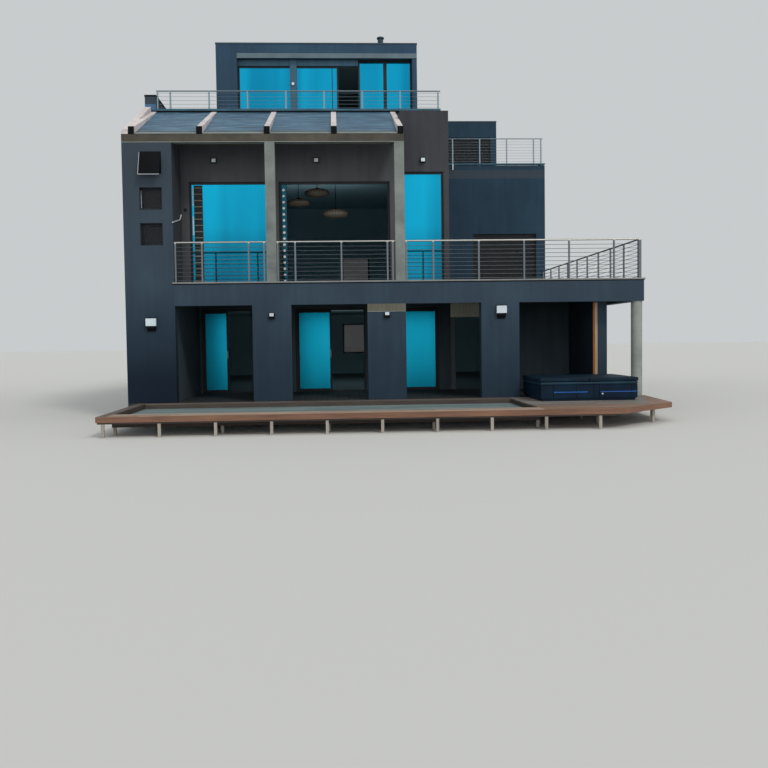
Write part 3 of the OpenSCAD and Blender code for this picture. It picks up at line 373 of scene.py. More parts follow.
powder_coat("black_frame", "191F24", "0F1418", gloss=0.2)
powder_coat("black_cap", "0B0D0F", "060708", rough=0.6, gloss=0.1)
powder_coat("grey_fascia", "526B74", "465B64")
powder_coat("zinc_strip", "7F8A86", "6A7571", rough=0.5)
powder_coat("pale_strip", "8A8C87", "74777A", rough=0.5, gloss=0.3)
powder_coat("slat_paint", "8C8675", "6F695B", rough=0.6, gloss=0.2)
powder_coat("cyan_lens", "B4E2F2", "98CFE6", rough=0.4)
powder_coat("teal_trim", "35677A", "264F60", gloss=0.3)
powder_coat("dark_trim", "2B424F", "1F323D", gloss=0.3)
powder_coat("blue_trim", "2A5F86", "1F4A6B")
powder_coat("white_coat", "D8DCDC", "C4C9CA", rough=0.35)
powder_coat("jamb_coat", "3E464B", "32393D")
powder_coat("opal_acrylic", "D3DEE4", "BFCCD4", rough=0.25)
print("coats ready")

# %% [markdown]
# Stainless steel is brushed along its length. The brushing is far finer than a pixel, so it is
# drawn coarser, as a light change of roughness along the bar. Posts and wires have dulled in the
# salt air. The balcony's top rail is drawn paler, from a little under its top upward.

# %% Brushed steel


def brushed(name, pale, dark, metal=0.9, rail=None):
    tree, shader, place = blank(name)
    run = add(tree, "Mapping", {"Vector": place, "Scale": (1.5, 60.0, 60.0)})
    brush = add(tree, "TexNoise", {"Vector": run, "Scale": 4.0, "Detail": 3.0})
    gloss = add(tree, "MapRange", {"Value": brush, "To Min": 0.28, "To Max": 0.48})
    tone = add(tree, "ValToRGB", {"Fac": brush}, [(0.3, dark), (0.7, pale)])
    if rail:
        rise = add(tree, "SeparateXYZ", {"Vector": place}).outputs["Z"]
        paler_top = add(tree, "MapRange", {
            "Value": rise, "From Min": facade.z + rail - 0.005, "From Max": facade.z + rail})
        tone = add(tree, "Mix", {0: paler_top, 6: tone, 7: "B4B3AE"}, data_type="RGBA")
    feed(shader, {"Base Color": tone, "Roughness": gloss, "Metallic": metal})


brushed("brushed_steel", "96979A", "74767A")
rail_top = measures("balcony_railings")[1].z
brushed("rail_steel", "6C7377", "4F5559", rail=rail_top - 0.045)
brushed("dull_steel", "7E8E95", "5F6F77", metal=0.7)
print("steels ready")

# %% [markdown]
# The panes to the sea are solar-control glass: a metal oxide film throws back most of the sky,
# tinted azure, so by day the rooms behind stay hidden. The shader is a tinted mirror with the
# faint roller waves of toughened glass. On each storey the tint is painted deeper towards the
# floor and paler above it: a painted reflection of the dune and the sea below and of the sky.

# %% Coated glass


def sea_glass(name, tints, low_band, high_band, rough):
    tree, shader, place = blank(name)
    waves = add(tree, "TexNoise", {"Vector": place, "Scale": 0.9, "Detail": 1.0})
    rise = add(tree, "SeparateXYZ", {"Vector": place}).outputs["Z"]
    share = add(tree, "MapRange", {
        "Value": rise, "From Min": facade.z, "From Max": facade.z + 10.5})
    # The tint by height is a painted reflection: darker low on each storey for the dune and sea,
    # paler above for the sky.
    painted_reflection_tint = add(tree, "ValToRGB", {"Fac": share}, tints)
    run = add(tree, "Mapping", {"Vector": place, "Scale": (1.4, 1.4, 0.12)})
    bands = add(tree, "TexNoise", {
        "Vector": run, "Scale": 0.9, "Detail": 2.0, "Roughness": 0.4})
    band_tint = add(tree, "ValToRGB", {"Fac": bands}, [(0.40, low_band), (0.60, high_band)])
    tint = add(tree, "Mix", {0: 0.45, 6: painted_reflection_tint, 7: band_tint}, data_type="RGBA")
    bump = add(tree, "Bump", {"Strength": 0.08, "Distance": 0.004, "Height": waves})
    feed(shader, {"Base Color": tint, "Normal": bump, "Metallic": 0.75,
                  "Specular IOR Level": 0.1, "Roughness": rough})


sea_glass("coated_glass", [
    (0.27, "053543"), (0.37, "075A6E"), (0.42, "087C99"), (0.53, "0A89A8"),
    (0.72, "044F67"), (0.80, "046985"), (0.97, "057294")], "045F7C", "0886A6", 0.05)
sea_glass("door_coating", [
    (0.00, "0A6F86"), (0.06, "0B8AA4"), (0.12, "0E9AB8"), (0.23, "10A8CB")],
    "0B8FAE", "11A6C6", 0.26)
sea_glass("folded_glass", [
    (0.27, "0C2B33"), (0.53, "12414D")], "0C2B33", "12414D", 0.08)
print("coated glass ready")

# %% [markdown]
# The other panes are smoked float glass: the side and rear windows and the small square ones.
# Each is a dark tint that lets a little daylight through. The tint is the alpha of a dark coat
# rather than refraction, because a flat pane doesn't bend the view and the daylight then falls
# evenly into the rooms. Its gloss is low: the real panes face dark trees, and a pale studio would
# wash them out.

# %% Shaded glass
tree, shader, place = blank("shaded_glass")
waves = add(tree, "TexNoise", {"Vector": place, "Scale": 0.9, "Detail": 1.0})
tint = add(tree, "ValToRGB", {"Fac": waves}, [(0.3, "0C0E11"), (0.7, "15181C")])
feed(shader, {"Base Color": tint, "Alpha": 0.74, "Roughness": 0.12,
              "Specular IOR Level": 0.14})
print("shaded glass ready")

# %% [markdown]
# The outdoor timber is oiled hardwood. Its grain runs along each board as fine darker lines in a
# broader change of tone. Real boards differ from their neighbours, so each board modelled below
# carries a number, and the finish reads it as that board's tone.

# %% Oiled timber


def wood_grain(tree, place, along):
    """Fine fibres along one axis of the house."""
    stretch = [0.6 if axis == along else 14.0 for axis in "xyz"]
    run = add(tree, "Mapping", {"Vector": place, "Scale": stretch})
    return add(tree, "TexNoise", {"Vector": run, "Scale": 3.0, "Detail": 6.0, "Roughness": 0.65})


def oiled_timber(name, pale, mid, dark, along="x", own_tones=False):
    tree, shader, place = blank(name)
    grain = wood_grain(tree, place, along)
    if own_tones:
        wide = add(tree, "Attribute", attribute_name="board_tone").outputs["Fac"]
    else:
        wide = add(tree, "TexNoise", {"Vector": place, "Scale": 0.8, "Detail": 2.0})
    both = add(tree, "Mix", {0: 0.4, 2: grain, 3: wide})
    colour = add(tree, "ValToRGB", {"Fac": both}, [(0.32, dark), (0.5, mid), (0.68, pale)])
    bump = add(tree, "Bump", {"Strength": 0.3, "Distance": 0.003, "Height": grain})
    feed(shader, {"Base Color": colour, "Normal": bump, "Roughness": 0.68})


oiled_timber("red_timber", "8C6750", "775440", "5A3F30")
oiled_timber("tan_timber", "BCA794", "A18B78", "7C6858", own_tones=True)
oiled_timber("warm_timber", "A08672", "876D5A", "684F3F", own_tones=True)
# A darker copy of the border timber: on the left kerb it is painted shade, for the shade the kerb
# lies in.
oiled_timber("shade_brown_timber", "6E635B", "5A504A", "453D38", own_tones=True)
oiled_timber("spa_decking", "938B84", "7D7671", "5F5A56", own_tones=True)
oiled_timber("riser_timber", "54483E", "433931", "332B25")
oiled_timber("pier_board", "6F6D5E", "5C5A4D", "4A483E", along="z")
oiled_timber("dark_timber", "4A3F38", "3B322C", "2B2420")
oiled_timber("grey_decking", "8DA0A0", "798B8C", "606F70", own_tones=True)
oiled_timber("pale_timber", "B5AFA6", "9C958B", "7A746B", along="z")
# The doorway panel is olive, but its paint here is near white: painted light, for the light the
# sunlit deck throws into the loggia's shade.
oiled_timber("olive_panel_painted_light", "F2EFE0", "E9E6D4", "D8D4BE", along="z")
oiled_timber("batten_wood", "B9A588", "A38E72", "846F57", along="z")
oiled_timber("bronze_edge", "A5652A", "8A5120", "683B16", along="z")
print("timbers ready")

# %% [markdown]
# Under the loggia the floor is laid with dark boards that run from the deck to the doors. The
# slab is one solid, so the joints are drawn by bands across it, 140 mm apart.

# %% Loggia floor
floor_board = 0.14
tree, shader, place = blank("loggia_floor")
board_colour = add(tree, "ValToRGB", {"Fac": wood_grain(tree, place, "y")}, [
    (0.3, "2A2F32"), (0.5, "34393B"), (0.7, "434747")])
bands = add(tree, "TexWave", {
    "Vector": place, "Scale": math.pi / 10 / floor_board}, bands_direction="X").outputs["Fac"]
joint = add(tree, "MapRange", {"Value": bands, "From Max": 0.06, "To Min": 0.85, "To Max": 0.0})
colour = add(tree, "Mix", {0: joint, 6: board_colour, 7: "0C0F11"}, data_type="RGBA")
colour = add(tree, "Mix", {0: room_side(tree, place), 6: colour, 7: "5C6062"},
             data_type="RGBA")
feed(shader, {"Base Color": colour, "Roughness": 0.7, "Specular IOR Level": 0.25})
print("loggia boards every", floor_board, "m")

# %% [markdown]
# The hot tub has a glossy acrylic rim, moulded side panels and a rigid foam cover in vinyl. The
# lamps over the dining table are rattan over a paper lens.

# %% Tub and lamp finishes
powder_coat("tub_panel", "0A2439", "06192A", rough=0.45, gloss=0.12)
powder_coat("tub_rim", "12394C", "0B2938", rough=0.3, gloss=0.25)
powder_coat("vinyl_cover", "0F2A3A", "091C29", rough=0.6, gloss=0.15)
powder_coat("blue_acrylic", "0B63C0", "084C98", rough=0.2)
oiled_timber("rattan", "9C8970", "7C6A57", "574A3D")
powder_coat("lamp_paper", "E4DACA", "CFC0AA", rough=0.8)
print("tub and lamp finishes ready")

# %% [markdown]
# Each CAD node whose shape is right keeps it and gets its finish here. The nodes that are only
# plain bodies, such as the lights, the hot tub and the deck's plates, are replaced further down
# by pieces that stand in the same place.

# %% Finishes of the CAD nodes
finishes = {
    "slate_render": "left_side_wall front_piers ground_right_wall rear_wall edge_band "
                  "terrace_side_wall left_parapet",
    "terrace_render": "first_floor_slab roof_terrace_slab",
    "upper_render": "top_floor_walls",
    "flat_roof_render": "top_floor_roof",
    "wing_roof_render": "wing_roof",
    "bay_roof_render": "bay_roof",
    "lintel_painted_light_render": "top_floor_lintel",
    "block_foot_shade_render": "left_front_wall",
    "deep_slate_render": "block_walls terrace_kerbs wing_walls",
    "charcoal_render": "balcony_wall",
    "bay_render": "balcony_side_wall bay_wall",
    "soot_render": "loggia_side_walls loggia_walls loggia_lintel",
    "column_concrete": "concrete_columns",
    "beam_concrete": "front_beam",
    "grey_concrete": "foundation_walls round_column",
    "loggia_floor": "ground_floor_slab",
    "cement_wash": "roof_ribs left_verge",
    "roof_sheet": "raked_roof",
    "grey_fascia": "top_floor_fascia",
    "rail_steel": "balcony_railings side_railing",
    "dull_steel": "roof_railings",
    "black_frame": "window_frames open_window_frame door_frames sliding_leaf_1 sliding_leaf_2 "
                 "sliding_leaf_3",
    "coated_glass": "window_glass",
    "door_coating": "door_glass sliding_glass_1 sliding_glass_2 sliding_glass_3",
    "shaded_glass": "shaded_window_glass",
    "olive_panel_painted_light": "doorway_panel",
    "red_timber": "deck_fascia",
    "dark_timber": "deck_frame",
    "pale_timber": "deck_posts",
}
for material, names in finishes.items():
    for name in names.split():
        nodes[name].data.materials.clear()
        nodes[name].data.materials.append(paints[material])
print("finished nodes", sum(len(names.split()) for names in finishes.values()), "of", len(nodes))

# %% [markdown]
# New pieces are made the way a workshop would: a block or a bar is cut to its size in its place,
# its edges are eased, and it gets its finish. Eased edges matter: a razor-sharp edge catches no
# light, and the block then looks like paper.

# %% Workshop helpers


def only(*parts):
    """Selects these parts and nothing else, with the first as the active one."""
    bpy.ops.object.select_all(action="DESELECT")
    for part in parts:
        part.select_set(True)
    bpy.context.view_layer.objects.active = parts[0]


def fresh(new_shape, scale=(1, 1, 1), **settings):
    """A new basic shape with its place and its size in its mesh."""
    bpy.ops.object.select_all(action="DESELECT")
    new_shape(**settings)
    piece = bpy.context.object
    piece.scale = scale
    bpy.ops.object.transform_apply(location=True, rotation=True, scale=True)
    return piece


def worked(piece, kind, **settings):
    """Puts a modifier on a piece and applies it."""
    only(piece)
    step = piece.modifiers.new(kind, kind)
    for key, value in settings.items():
        setattr(step, key, value)
    bpy.ops.object.modifier_apply(modifier=step.name)
    return piece


def eased(piece, width, segments=1):
    """Takes the sharpness off a piece's edges."""
    return worked(piece, "BEVEL", width=width, segments=segments, limit_method="ANGLE",
                  angle_limit=math.radians(50))


def board(low, high, edge=0.003, segments=1):
    """A block between two corners in the house's measures."""
    low, high = at(*low), at(*high)
    piece = fresh(bpy.ops.mesh.primitive_cube_add, high - low, size=1, location=(low + high) / 2)
    return eased(piece, edge, segments) if edge else piece


def rod(start, end, radius, sides=16):
    """A round bar between two points in the house's measures."""
    start, end = at(*start), at(*end)
    way = end - start
    piece = fresh(bpy.ops.mesh.primitive_cylinder_add, vertices=sides, radius=radius,
                  depth=way.length, location=(start + end) / 2,
                  rotation=way.to_track_quat("Z", "Y").to_euler())
    eased(piece, radius * 0.12)
    bpy.ops.object.shade_smooth_by_angle(angle=math.radians(40))
    return piece


def copy_at(piece, offset):
    """A copy with a mesh of its own, moved by an offset."""
    twin = piece.copy()
    twin.data = piece.data.copy()
    bpy.context.scene.collection.objects.link(twin)
    twin.data.transform(Matrix.Translation(offset))
    return twin


def column_of(piece, count, step):
    """The piece and its copies, each of them a step higher than the last."""
    return [piece] + [copy_at(piece, Vector((0, 0, step * k))) for k in range(1, count)]


def fit(name, parts, material, stands_for=(), body="house"):
    """Makes one piece of its parts, with its name, finish and the body it rides on."""
    parts = parts if isinstance(parts, list) else [parts]
    piece = parts[0]
    only(*parts)
    if len(parts) > 1:
        bpy.ops.object.join()
    piece.name = name
    piece.data.materials.clear()
    piece.data.materials.append(paints[material])
    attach(piece, body)
    if stands_for:
        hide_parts(*stands_for)
    return piece


# %% [markdown]
# The roof's five ribs end in dark boxed caps at the front. A pale flashing lies on the beam below
# the sheet, at the roof's rake, and a thin drip edge ends the beam's underside. They are the fine
# lines that make the roof's front edge read.

# %% Roof edge
rake = 0.415
beam_low, beam_high = measures("front_beam")
caps = [board((low.x - 0.004, -0.014, 6.470), (high.x + 0.004, 0.020, 6.655), 0.004)
        for low, high in solids("roof_ribs")]
fit("rib_caps", caps, "black_cap")
flashing = board((measures("left_verge")[1].x + 0.005, -0.010, beam_high.z - 0.120),
                 (beam_high.x, 0.170, beam_high.z - 0.112), 0.002)
for vert in flashing.data.vertices:
    vert.co.z += (vert.co.y - facade.y) * rake
fit("beam_flashing", flashing, "zinc_strip")
for name, low, high in [
        ("beam_drip_edge", (0, -0.006, 0.002), (beam_high.x + 0.004, 0.004, 0.020)),
        ("beam_drip_bead", (1.20, 0.09, -0.008), (6.55, 0.12, 0.002))]:
    under = Vector((0, 0, beam_low.z))
    fit(name, board(Vector(low) + under, Vector(high) + under, 0.002), "zinc_strip")
print("rib caps", len(caps))

# %% [markdown]
# Along the back of the sheet a teal flashing is dressed over the terrace's kerb. Under it a black
# strip is painted shadow, for the shade below the flashing. The parapets have thin metal copings,
# folded over both faces of the wall, so each is a ring a little wider than its wall. It is made as
# a plane, inset to the wall's width, opened in the middle and thickened.

# %% Copings
kerb_low, kerb_high = measures("terrace_kerbs")
edge_y = kerb_low.y
right_x = measures("top_floor_roof")[1].x + 0.28
# The black strip under the flashing is painted shadow, for the shade below it.
for name, start, foot, end, back, head, edge, material in [
        ("terrace_edge_strip", 0.300, 7.745, right_x, 0.002, 7.792, 0.002, "teal_trim"),
        ("terrace_edge_leaf", 0.300, 7.786, right_x, 0.165, 7.796, 0.002, "teal_trim"),
        ("terrace_painted_shadow", 0.300, 7.690, right_x, 0.001, 7.743, 0.001, "black_cap")]:
    fit(name, board((start, edge_y - 0.016, foot), (end, edge_y + back, head), edge),
        material)
fit("parapet_foot_trim", board((0.004, edge_y - 0.010, 7.760), (0.296, edge_y + 0.001, 7.920),
                               0.002), "blue_trim")
out, rise, drop = 0.012, 0.008, 0.040
for name, width in [("top_floor_roof", 0.25), ("wing_roof", 0.25), ("bay_roof", 0.20)]:
    low, high = measures(name)
    ring = fresh(bpy.ops.mesh.primitive_plane_add,
                 (high.x - low.x + 2 * out, high.y - low.y + 2 * out, 1), size=1,
                 location=at((low.x + high.x) / 2, (low.y + high.y) / 2, high.z + rise))
    bpy.ops.object.mode_set(mode="EDIT")
    bpy.ops.mesh.select_all(action="SELECT")
    bpy.ops.mesh.inset(thickness=width + 2 * out, depth=0)
    bpy.ops.mesh.delete(type="FACE")
    bpy.ops.object.mode_set(mode="OBJECT")
    worked(ring, "SOLIDIFY", thickness=rise + drop, offset=-1)
    fit(name + "_coping", eased(ring, 0.003), "dark_trim")
low, high = measures("left_parapet")
fit("parapet_coping", board((low.x - out, low.y - out, high.z - 0.030),
                            (high.x + out, high.y + 0.005, high.z + out)),
    "black_cap")
print("copings inset", out, "m")

# %% [markdown]
# The block behind the roof terrace has a slim coping too, in an L along its kerb. The flue on the
# top floor is a dark pipe with a wider rain cap on four legs, and a pale rainwater pipe stands at
# the block's edge.

# %% Block edge, flue and pipe
block_y = block_low.y
block_top = min(high.z for low, high in solids("terrace_kerbs"))
for name, start, front, back in [
        ("block_coping", 4.69, block_y - 0.014, block_y + 0.162),
        ("block_side_coping", 0.162, block_y + 0.162, house_d)]:
    fit(name, board((kerb_high.x - start, front, block_top - 0.035),
                    (kerb_high.x + 0.012, back, block_top + 0.010)), "teal_trim")
flue_low, flue_high = measures("flue")
x, y, z = (flue_low + flue_high) / 2
flue = [rod((x, y, flue_low.z), (x, y, flue_high.z - 0.05), 0.092, 24),
        rod((x, y, flue_low.z), (x, y, flue_low.z + 0.06), 0.122, 24),
        rod((x, y, flue_high.z - 0.062), (x, y, flue_high.z), 0.122, 24)]
for dx, dy in [(0.08, 0), (-0.08, 0), (0, 0.08), (0, -0.08)]:
    flue.append(rod((x + dx, y + dy, flue_high.z - 0.11), (x + dx, y + dy, flue_high.z - 0.03),
                    0.008, 8))
fit("flue_with_cap", flue, "dark_trim", ["flue"])
pipe_y = block_y - 0.038
fit("rainwater_pipe", rod((9.37, pipe_y, 7.55), (9.37, pipe_y, 7.76), 0.024),
    "white_coat")
print("flue", flue_low, flue_high)

# %% [markdown]
# On the top floor a round opal lamp sits on the dark post between the glazing's two halves, and
# one mullion divides the left half unevenly.

# %% Top floor details
post_x, lamp_z = 3.836, 9.583
fit("post_light", rod((post_x, 7.040, lamp_z), (post_x, 6.990, lamp_z), 0.050, 32),
    "opal_acrylic")
fit("post_light_rim", rod((post_x, 7.040, lamp_z), (post_x, 7.015, lamp_z), 0.058, 32),
    "black_cap")
fit("top_glazing_mullion", board((5.062, 7.150, 7.605), (5.087, 7.166, 10.115), 0.002),
    "black_frame")
print("top floor details ready")

# %% [markdown]
# The first floor's edge carries a pale metal trim that throws the rain clear. A black strip under
# it is painted shadow, for the shade below the trim. Both run round the terrace corner, where a
# slim steel post holds the railing.

# %% Floor trim
# The second strip, black, is painted shadow under the trim.
for name, out, foot, head, edge, material, slot in [
        ("floor_edge_trim", 0.030, -0.020, 0.017, 0.003, "pale_strip", "coping"),
        ("floor_trim_painted_shadow", 0.012, -0.040, -0.020, 0.001, "black_cap", "fascia_metal")]:
    foot, head = first_z + foot, first_z + head
    fit(name, [board((1.130, -out, foot), (house_w + out, 0, head), edge),
               board((house_w, 0, foot), (house_w + out, block_y, head), edge)], material)
fit("corner_post", board((12.600, 0.030, first_z), (12.675, 0.105, first_z + 1.0), 0.006, 2),
    "rail_steel")
print("floor trim at", first_z)

# %% [markdown]
# The left balcony window has a louvre panel beside its pane: pale slats like shelves in a dark
# case, so that air passes and rain doesn't. One slat is modelled and copied upwards.

# %% Louvre panel
fit("louvre_case", board((1.490, 1.3745, 2.985), (1.712, 1.3825, 5.470), 0.001),
    "black_frame")
slats = column_of(board((1.495, 1.352, 3.020), (1.705, 1.384, 3.046)), 16, 0.158)
fit("louvre_slats", slats, "slat_paint")
gaps = [board((1.446, 1.374, foot), (1.482, 1.3828, head), 0.002)
        for foot, head in [(4.96, 5.40), (4.21, 4.68)]]
fit("louvre_side_lights", gaps, "cyan_lens")
print("slats", len(slats))

# %% [markdown]
# The middle balcony window is a folding one. Its leaves are pushed to the left, where one glass
# leaf stands folded, with a row of white pivot caps down its edge.

# %% Folded window leaf
fit("folded_leaf", board((3.710, 1.384, 2.965), (3.851, 1.404, 5.485)), "folded_glass")
stiles = [board((x, 1.378, 2.965), (x + 0.014, 1.408, 5.485), 0.002) for x in (3.700, 3.848)]
fit("folded_leaf_stiles", stiles, "black_frame")
knobs = column_of(rod((3.777, 1.386, 5.344), (3.777, 1.366, 5.344), 0.034), 16, -0.155)
fit("pivot_caps", knobs, "white_coat")
print("pivot caps", len(knobs))

# %% [markdown]
# The top square window is open: its sash hangs at its head and is pushed out at the foot by about
# 22 degrees. The sash is a ring of bars with a pane in it, built upright and then turned about
# the hinge line at its head. Two of its bars are white, and two thin stays hold its foot. The
# middle window has a white bead.

# %% Open sash
squares = [box for box in solids("shaded_window_glass")
           if 0.3 < box[0].x and box[1].x < 1.0 and box[0].y < 0.3]
bottom_square, middle_square, top_square = sorted(squares, key=lambda box: box[0].z)
left, right = top_square[0].x - 0.040, top_square[1].x + 0.040
foot, head = top_square[0].z - 0.155, top_square[1].z + 0.045
front, back, bar = -0.008, 0.004, 0.011
lean = math.radians(22)
hinge = at(0, back, head)
swing = Matrix.Translation(hinge) @ Matrix.Rotation(-lean, 4, "X") @ Matrix.Translation(-hinge)
white_bars = [board((left, front, foot), (left + bar, back, head)),
              board((left + bar, front, foot), (right, back, foot + bar))]
dark_bars = [board((right - bar, front, foot + bar), (right, back, head)),
             board((left + bar, front, head - bar), (right - bar, back, head))]
pane = board((left + bar, front, foot + bar), (right - bar, front / 2, head - bar), 0.001)
for name, parts, material, slot in [
        ("sash_white_bars", white_bars, "white_coat", "frame_metal"),
        ("sash_dark_bars", dark_bars, "black_frame", "frame_metal"),
        ("sash_pane", pane, "shaded_glass", "shaded_glass")]:
    fit(name, parts, material).data.transform(swing)
length = head - foot - 0.02
reach, stay_z = 0.01 - math.sin(lean) * length, head - math.cos(lean) * length
stays = [rod((x, 0.120, stay_z + 0.06), (x, reach, stay_z + 0.01), 0.006, 8)
         for x in (left + 0.02, right - 0.02)]
fit("sash_stays", stays, "brushed_steel")
low, high = middle_square
fit("square_window_bead", board((low.x - 0.044, 0.136, low.z - 0.002),
                                (low.x - 0.034, 0.146, high.z - 0.010), 0.002),
    "white_coat")
print("square windows", len(squares))

# %% [markdown]
# A thin bent tube sticks out of the balcony's side wall, with a round cover plate behind it: an
# outlet of some kind. It is three straight lengths of pipe with a ball at each bend, and two
# clips hold it to the wall.

# %% Outlet tube
wall_face = measures("balcony_side_wall")[1].x
route = [Vector(spot) for spot in [
    (1.188, -0.070, 4.356), (1.190, 0.880, 4.532), (1.196, 0.970, 4.566), (1.200, 1.100, 4.688)]]
lengths = [rod(start, end, 0.015, 12) for start, end in zip(route, route[1:])]
lengths += [fresh(bpy.ops.mesh.primitive_uv_sphere_add, segments=12, ring_count=8, radius=0.016,
                  location=at(*spot)) for spot in route[1:3]]
for share in (0.25, 0.85):
    spot = route[0].lerp(route[1], share)
    lengths.append(rod((wall_face, spot.y, spot.z), spot, 0.011, 12))
fit("outlet_tube", lengths, "white_coat")
fit("cover_plate", rod((1.281, 1.301, 4.841), (1.281, 1.290, 4.841), 0.045, 24),
    "black_frame")
print("outlet tube parts", len(lengths))

# %% [markdown]
# Plain windows on the sides and the rear have a metal sill each: a thin folded plate that stands
# proud of the wall. Every pane in these walls gets one, set by the pane's own place.

# %% Sills
wing_face = measures("wing_walls")[1].x
sills = []
for low, high in solids("shaded_window_glass"):
    if high.x < 0.25:
        near, far = (-0.035, low.y - 0.09), (low.x - 0.02, high.y + 0.09)
    elif low.y > house_d - 0.25:
        near, far = (low.x - 0.09, high.y + 0.02), (high.x + 0.09, house_d + 0.035)
    elif low.x > 11.5 and high.y - low.y > 0.5:
        face = house_w if high.x > 12.0 else ground_face if low.z < first_z else wing_face
        near, far = (high.x + 0.02, low.y - 0.09), (face + 0.035, high.y + 0.09)
    else:
        continue
    sills.append(board((*near, low.z - 0.085), (*far, low.z - 0.062)))
fit("window_sills", sills, "zinc_strip")
print("sills", len(sills))

# %% [markdown]
# Two lanterns by the ground floor walls are opal boxes on a dark back plate with a bracket below.
# The two spots on the piers and the three high ones over the balcony are small dark cases with a
# bright lens. Each is set on the plain box that stands for it in the CAD model.

# %% Wall lights
plates, glows, cases, lenses = [], [], [], []
for (x1, y1, z1), (x2, y2, z2) in solids("wall_lights"):
    if z2 - z1 > 0.2:
        plates += [board((x1 + 0.02, y2 - 0.02, z1 - 0.05), (x2 - 0.02, y2, z2 - 0.02)),
                   board((x1 + 0.02, y1 + 0.01, z1 + 0.01), (x2 - 0.02, y2 - 0.02, z1 + 0.08),
                         0.010),
                   board((x1 - 0.004, y1 - 0.004, z2 - 0.014), (x2 + 0.004, y2, z2))]
        glows.append(board((x1, y1, z1 + 0.08), (x2, y2 - 0.02, z2 - 0.014), 0.008, 2))
    else:
        drop = 0.030 if z1 < first_z else 0.0
        cases.append(board((x1 - 0.010, y1 + 0.012, z1 - drop), (x2 + 0.010, y2, z2 - 0.6 * drop),
                           0.006, 2))
        lenses.append(board((x1 + 0.010, y1, z1 + 0.016 + 0.5 * drop),
                            (x2 - 0.010, y1 + 0.013, z2 - 0.016), 0.004))
for name, parts, material, slot in [
        ("lantern_backs", plates, "black_cap", "frame_metal"),
        ("lantern_boxes", glows, "opal_acrylic", "lantern"),
        ("spot_cases", cases, "black_cap", "frame_metal"),
        ("spot_lenses", lenses, "opal_acrylic", "lantern")]:
    fit(name, parts, material, ["wall_lights"])
print("lanterns", len(glows), "spots", len(cases))

# %% [markdown]
# Behind the open window three woven lamps hang on rigid rods. Each is a round basket, pressed
# flat, of rattan cane over a paper lens. The basket is a ball whose mesh lines are turned into
# canes by a Wireframe modifier, and the smaller ball inside it is the paper.

# %% Pendant lamps
ceiling_z = measures("pendant_lamps")[1].z
baskets, papers, stems = [], [], []
for low, high in solids("pendant_lamps"):
    width = high.x - low.x
    if width < 0.3:
        continue
    foot, top = low.z - 0.035, low.z - 0.035 + width * 0.32
    x, y = (low.x + high.x) / 2, (low.y + high.y) / 2
    for parts, share in ((baskets, 1.0), (papers, 0.90)):
        size = Vector((width / 2, width / 2, (top - foot) / 2)) * share
        parts.append(fresh(bpy.ops.mesh.primitive_uv_sphere_add, size, segments=28,
                           ring_count=14, radius=1, location=at(x, y, (foot + top) / 2)))
    bpy.ops.object.shade_smooth()
    worked(baskets[-1], "WIREFRAME", thickness=0.009)
    stems += [rod((x, y, top - 0.02), (x, y, ceiling_z), 0.008, 8),
              rod((x, y, top - 0.025), (x, y, top + 0.03), 0.055, 24),
              rod((x, y, ceiling_z - 0.03), (x, y, ceiling_z), 0.060, 24)]
fit("lamp_baskets", baskets, "rattan", ["pendant_lamps"])
fit("lamp_papers", papers, "lamp_paper", ["pendant_lamps"])
fit("lamp_rods", stems, "black_cap", ["pendant_lamps"])
print("pendants", len(papers))

# %% [markdown]
# On the ground floor the last pier carries an olive board with a pale bead above the opening, the
# doorway has a lighter door jamb, and a wooden batten with a bronze edge covers the niche's
# corner.

# %% Ground floor details
pier_head = measures("edge_band")[0].z
for name, low, high, edge, material, slot in [
        ("pier_head_board", (5.845, -0.007, 2.172), (6.790, 0.001, pier_head), 0.002,
         "pier_board", "panel"),
        ("pier_head_bead", (5.845, -0.012, 2.154), (6.790, 0.001, 2.172), 0.002,
         "pale_strip", "coping"),
        ("doorway_jamb", (8.387, 3.972, 0.002), (8.524, 4.001, 2.098), 0.003,
         "jamb_coat", "frame_metal"),
        ("niche_batten", (11.650, 0.560, 0.002), (11.716, 0.622, 2.350), 0.004,
         "batten_wood", "panel"),
        ("niche_edge", (11.604, 0.566, 0.002), (11.650, 0.622, 2.350), 0.002,
         "bronze_edge", "panel")]:
    fit(name, board(low, high, edge), material)
print("niche batten under", pier_head)

# %% [markdown]
# Each sliding leaf has a flush pull: a slim plate let into the meeting stile at hand height. It
# rides on its leaf, so it slides with it.

# %% Flush pulls
for number in ("1", "2", "3"):
    low, high = measures("sliding_leaf_" + number)
    x = low.x + 0.030 if number == "3" else high.x - 0.030
    pull = board((x - 0.012, low.y - 0.003, 0.98), (x + 0.012, low.y + 0.002, 1.20), 0.0015)
    fit("flush_pull_" + number, pull, "brushed_steel", body="door_leaf_" + number)
print("pulls on the leaves")

# %% [markdown]
# The hot tub's cabinet stands on a recessed foot. Its front is moulded panels with narrow seams,
# the rim a glossy rounded frame, and a blue light strip runs along the panels. The cover is in
# two halves that fold over a hinge flap in the middle.

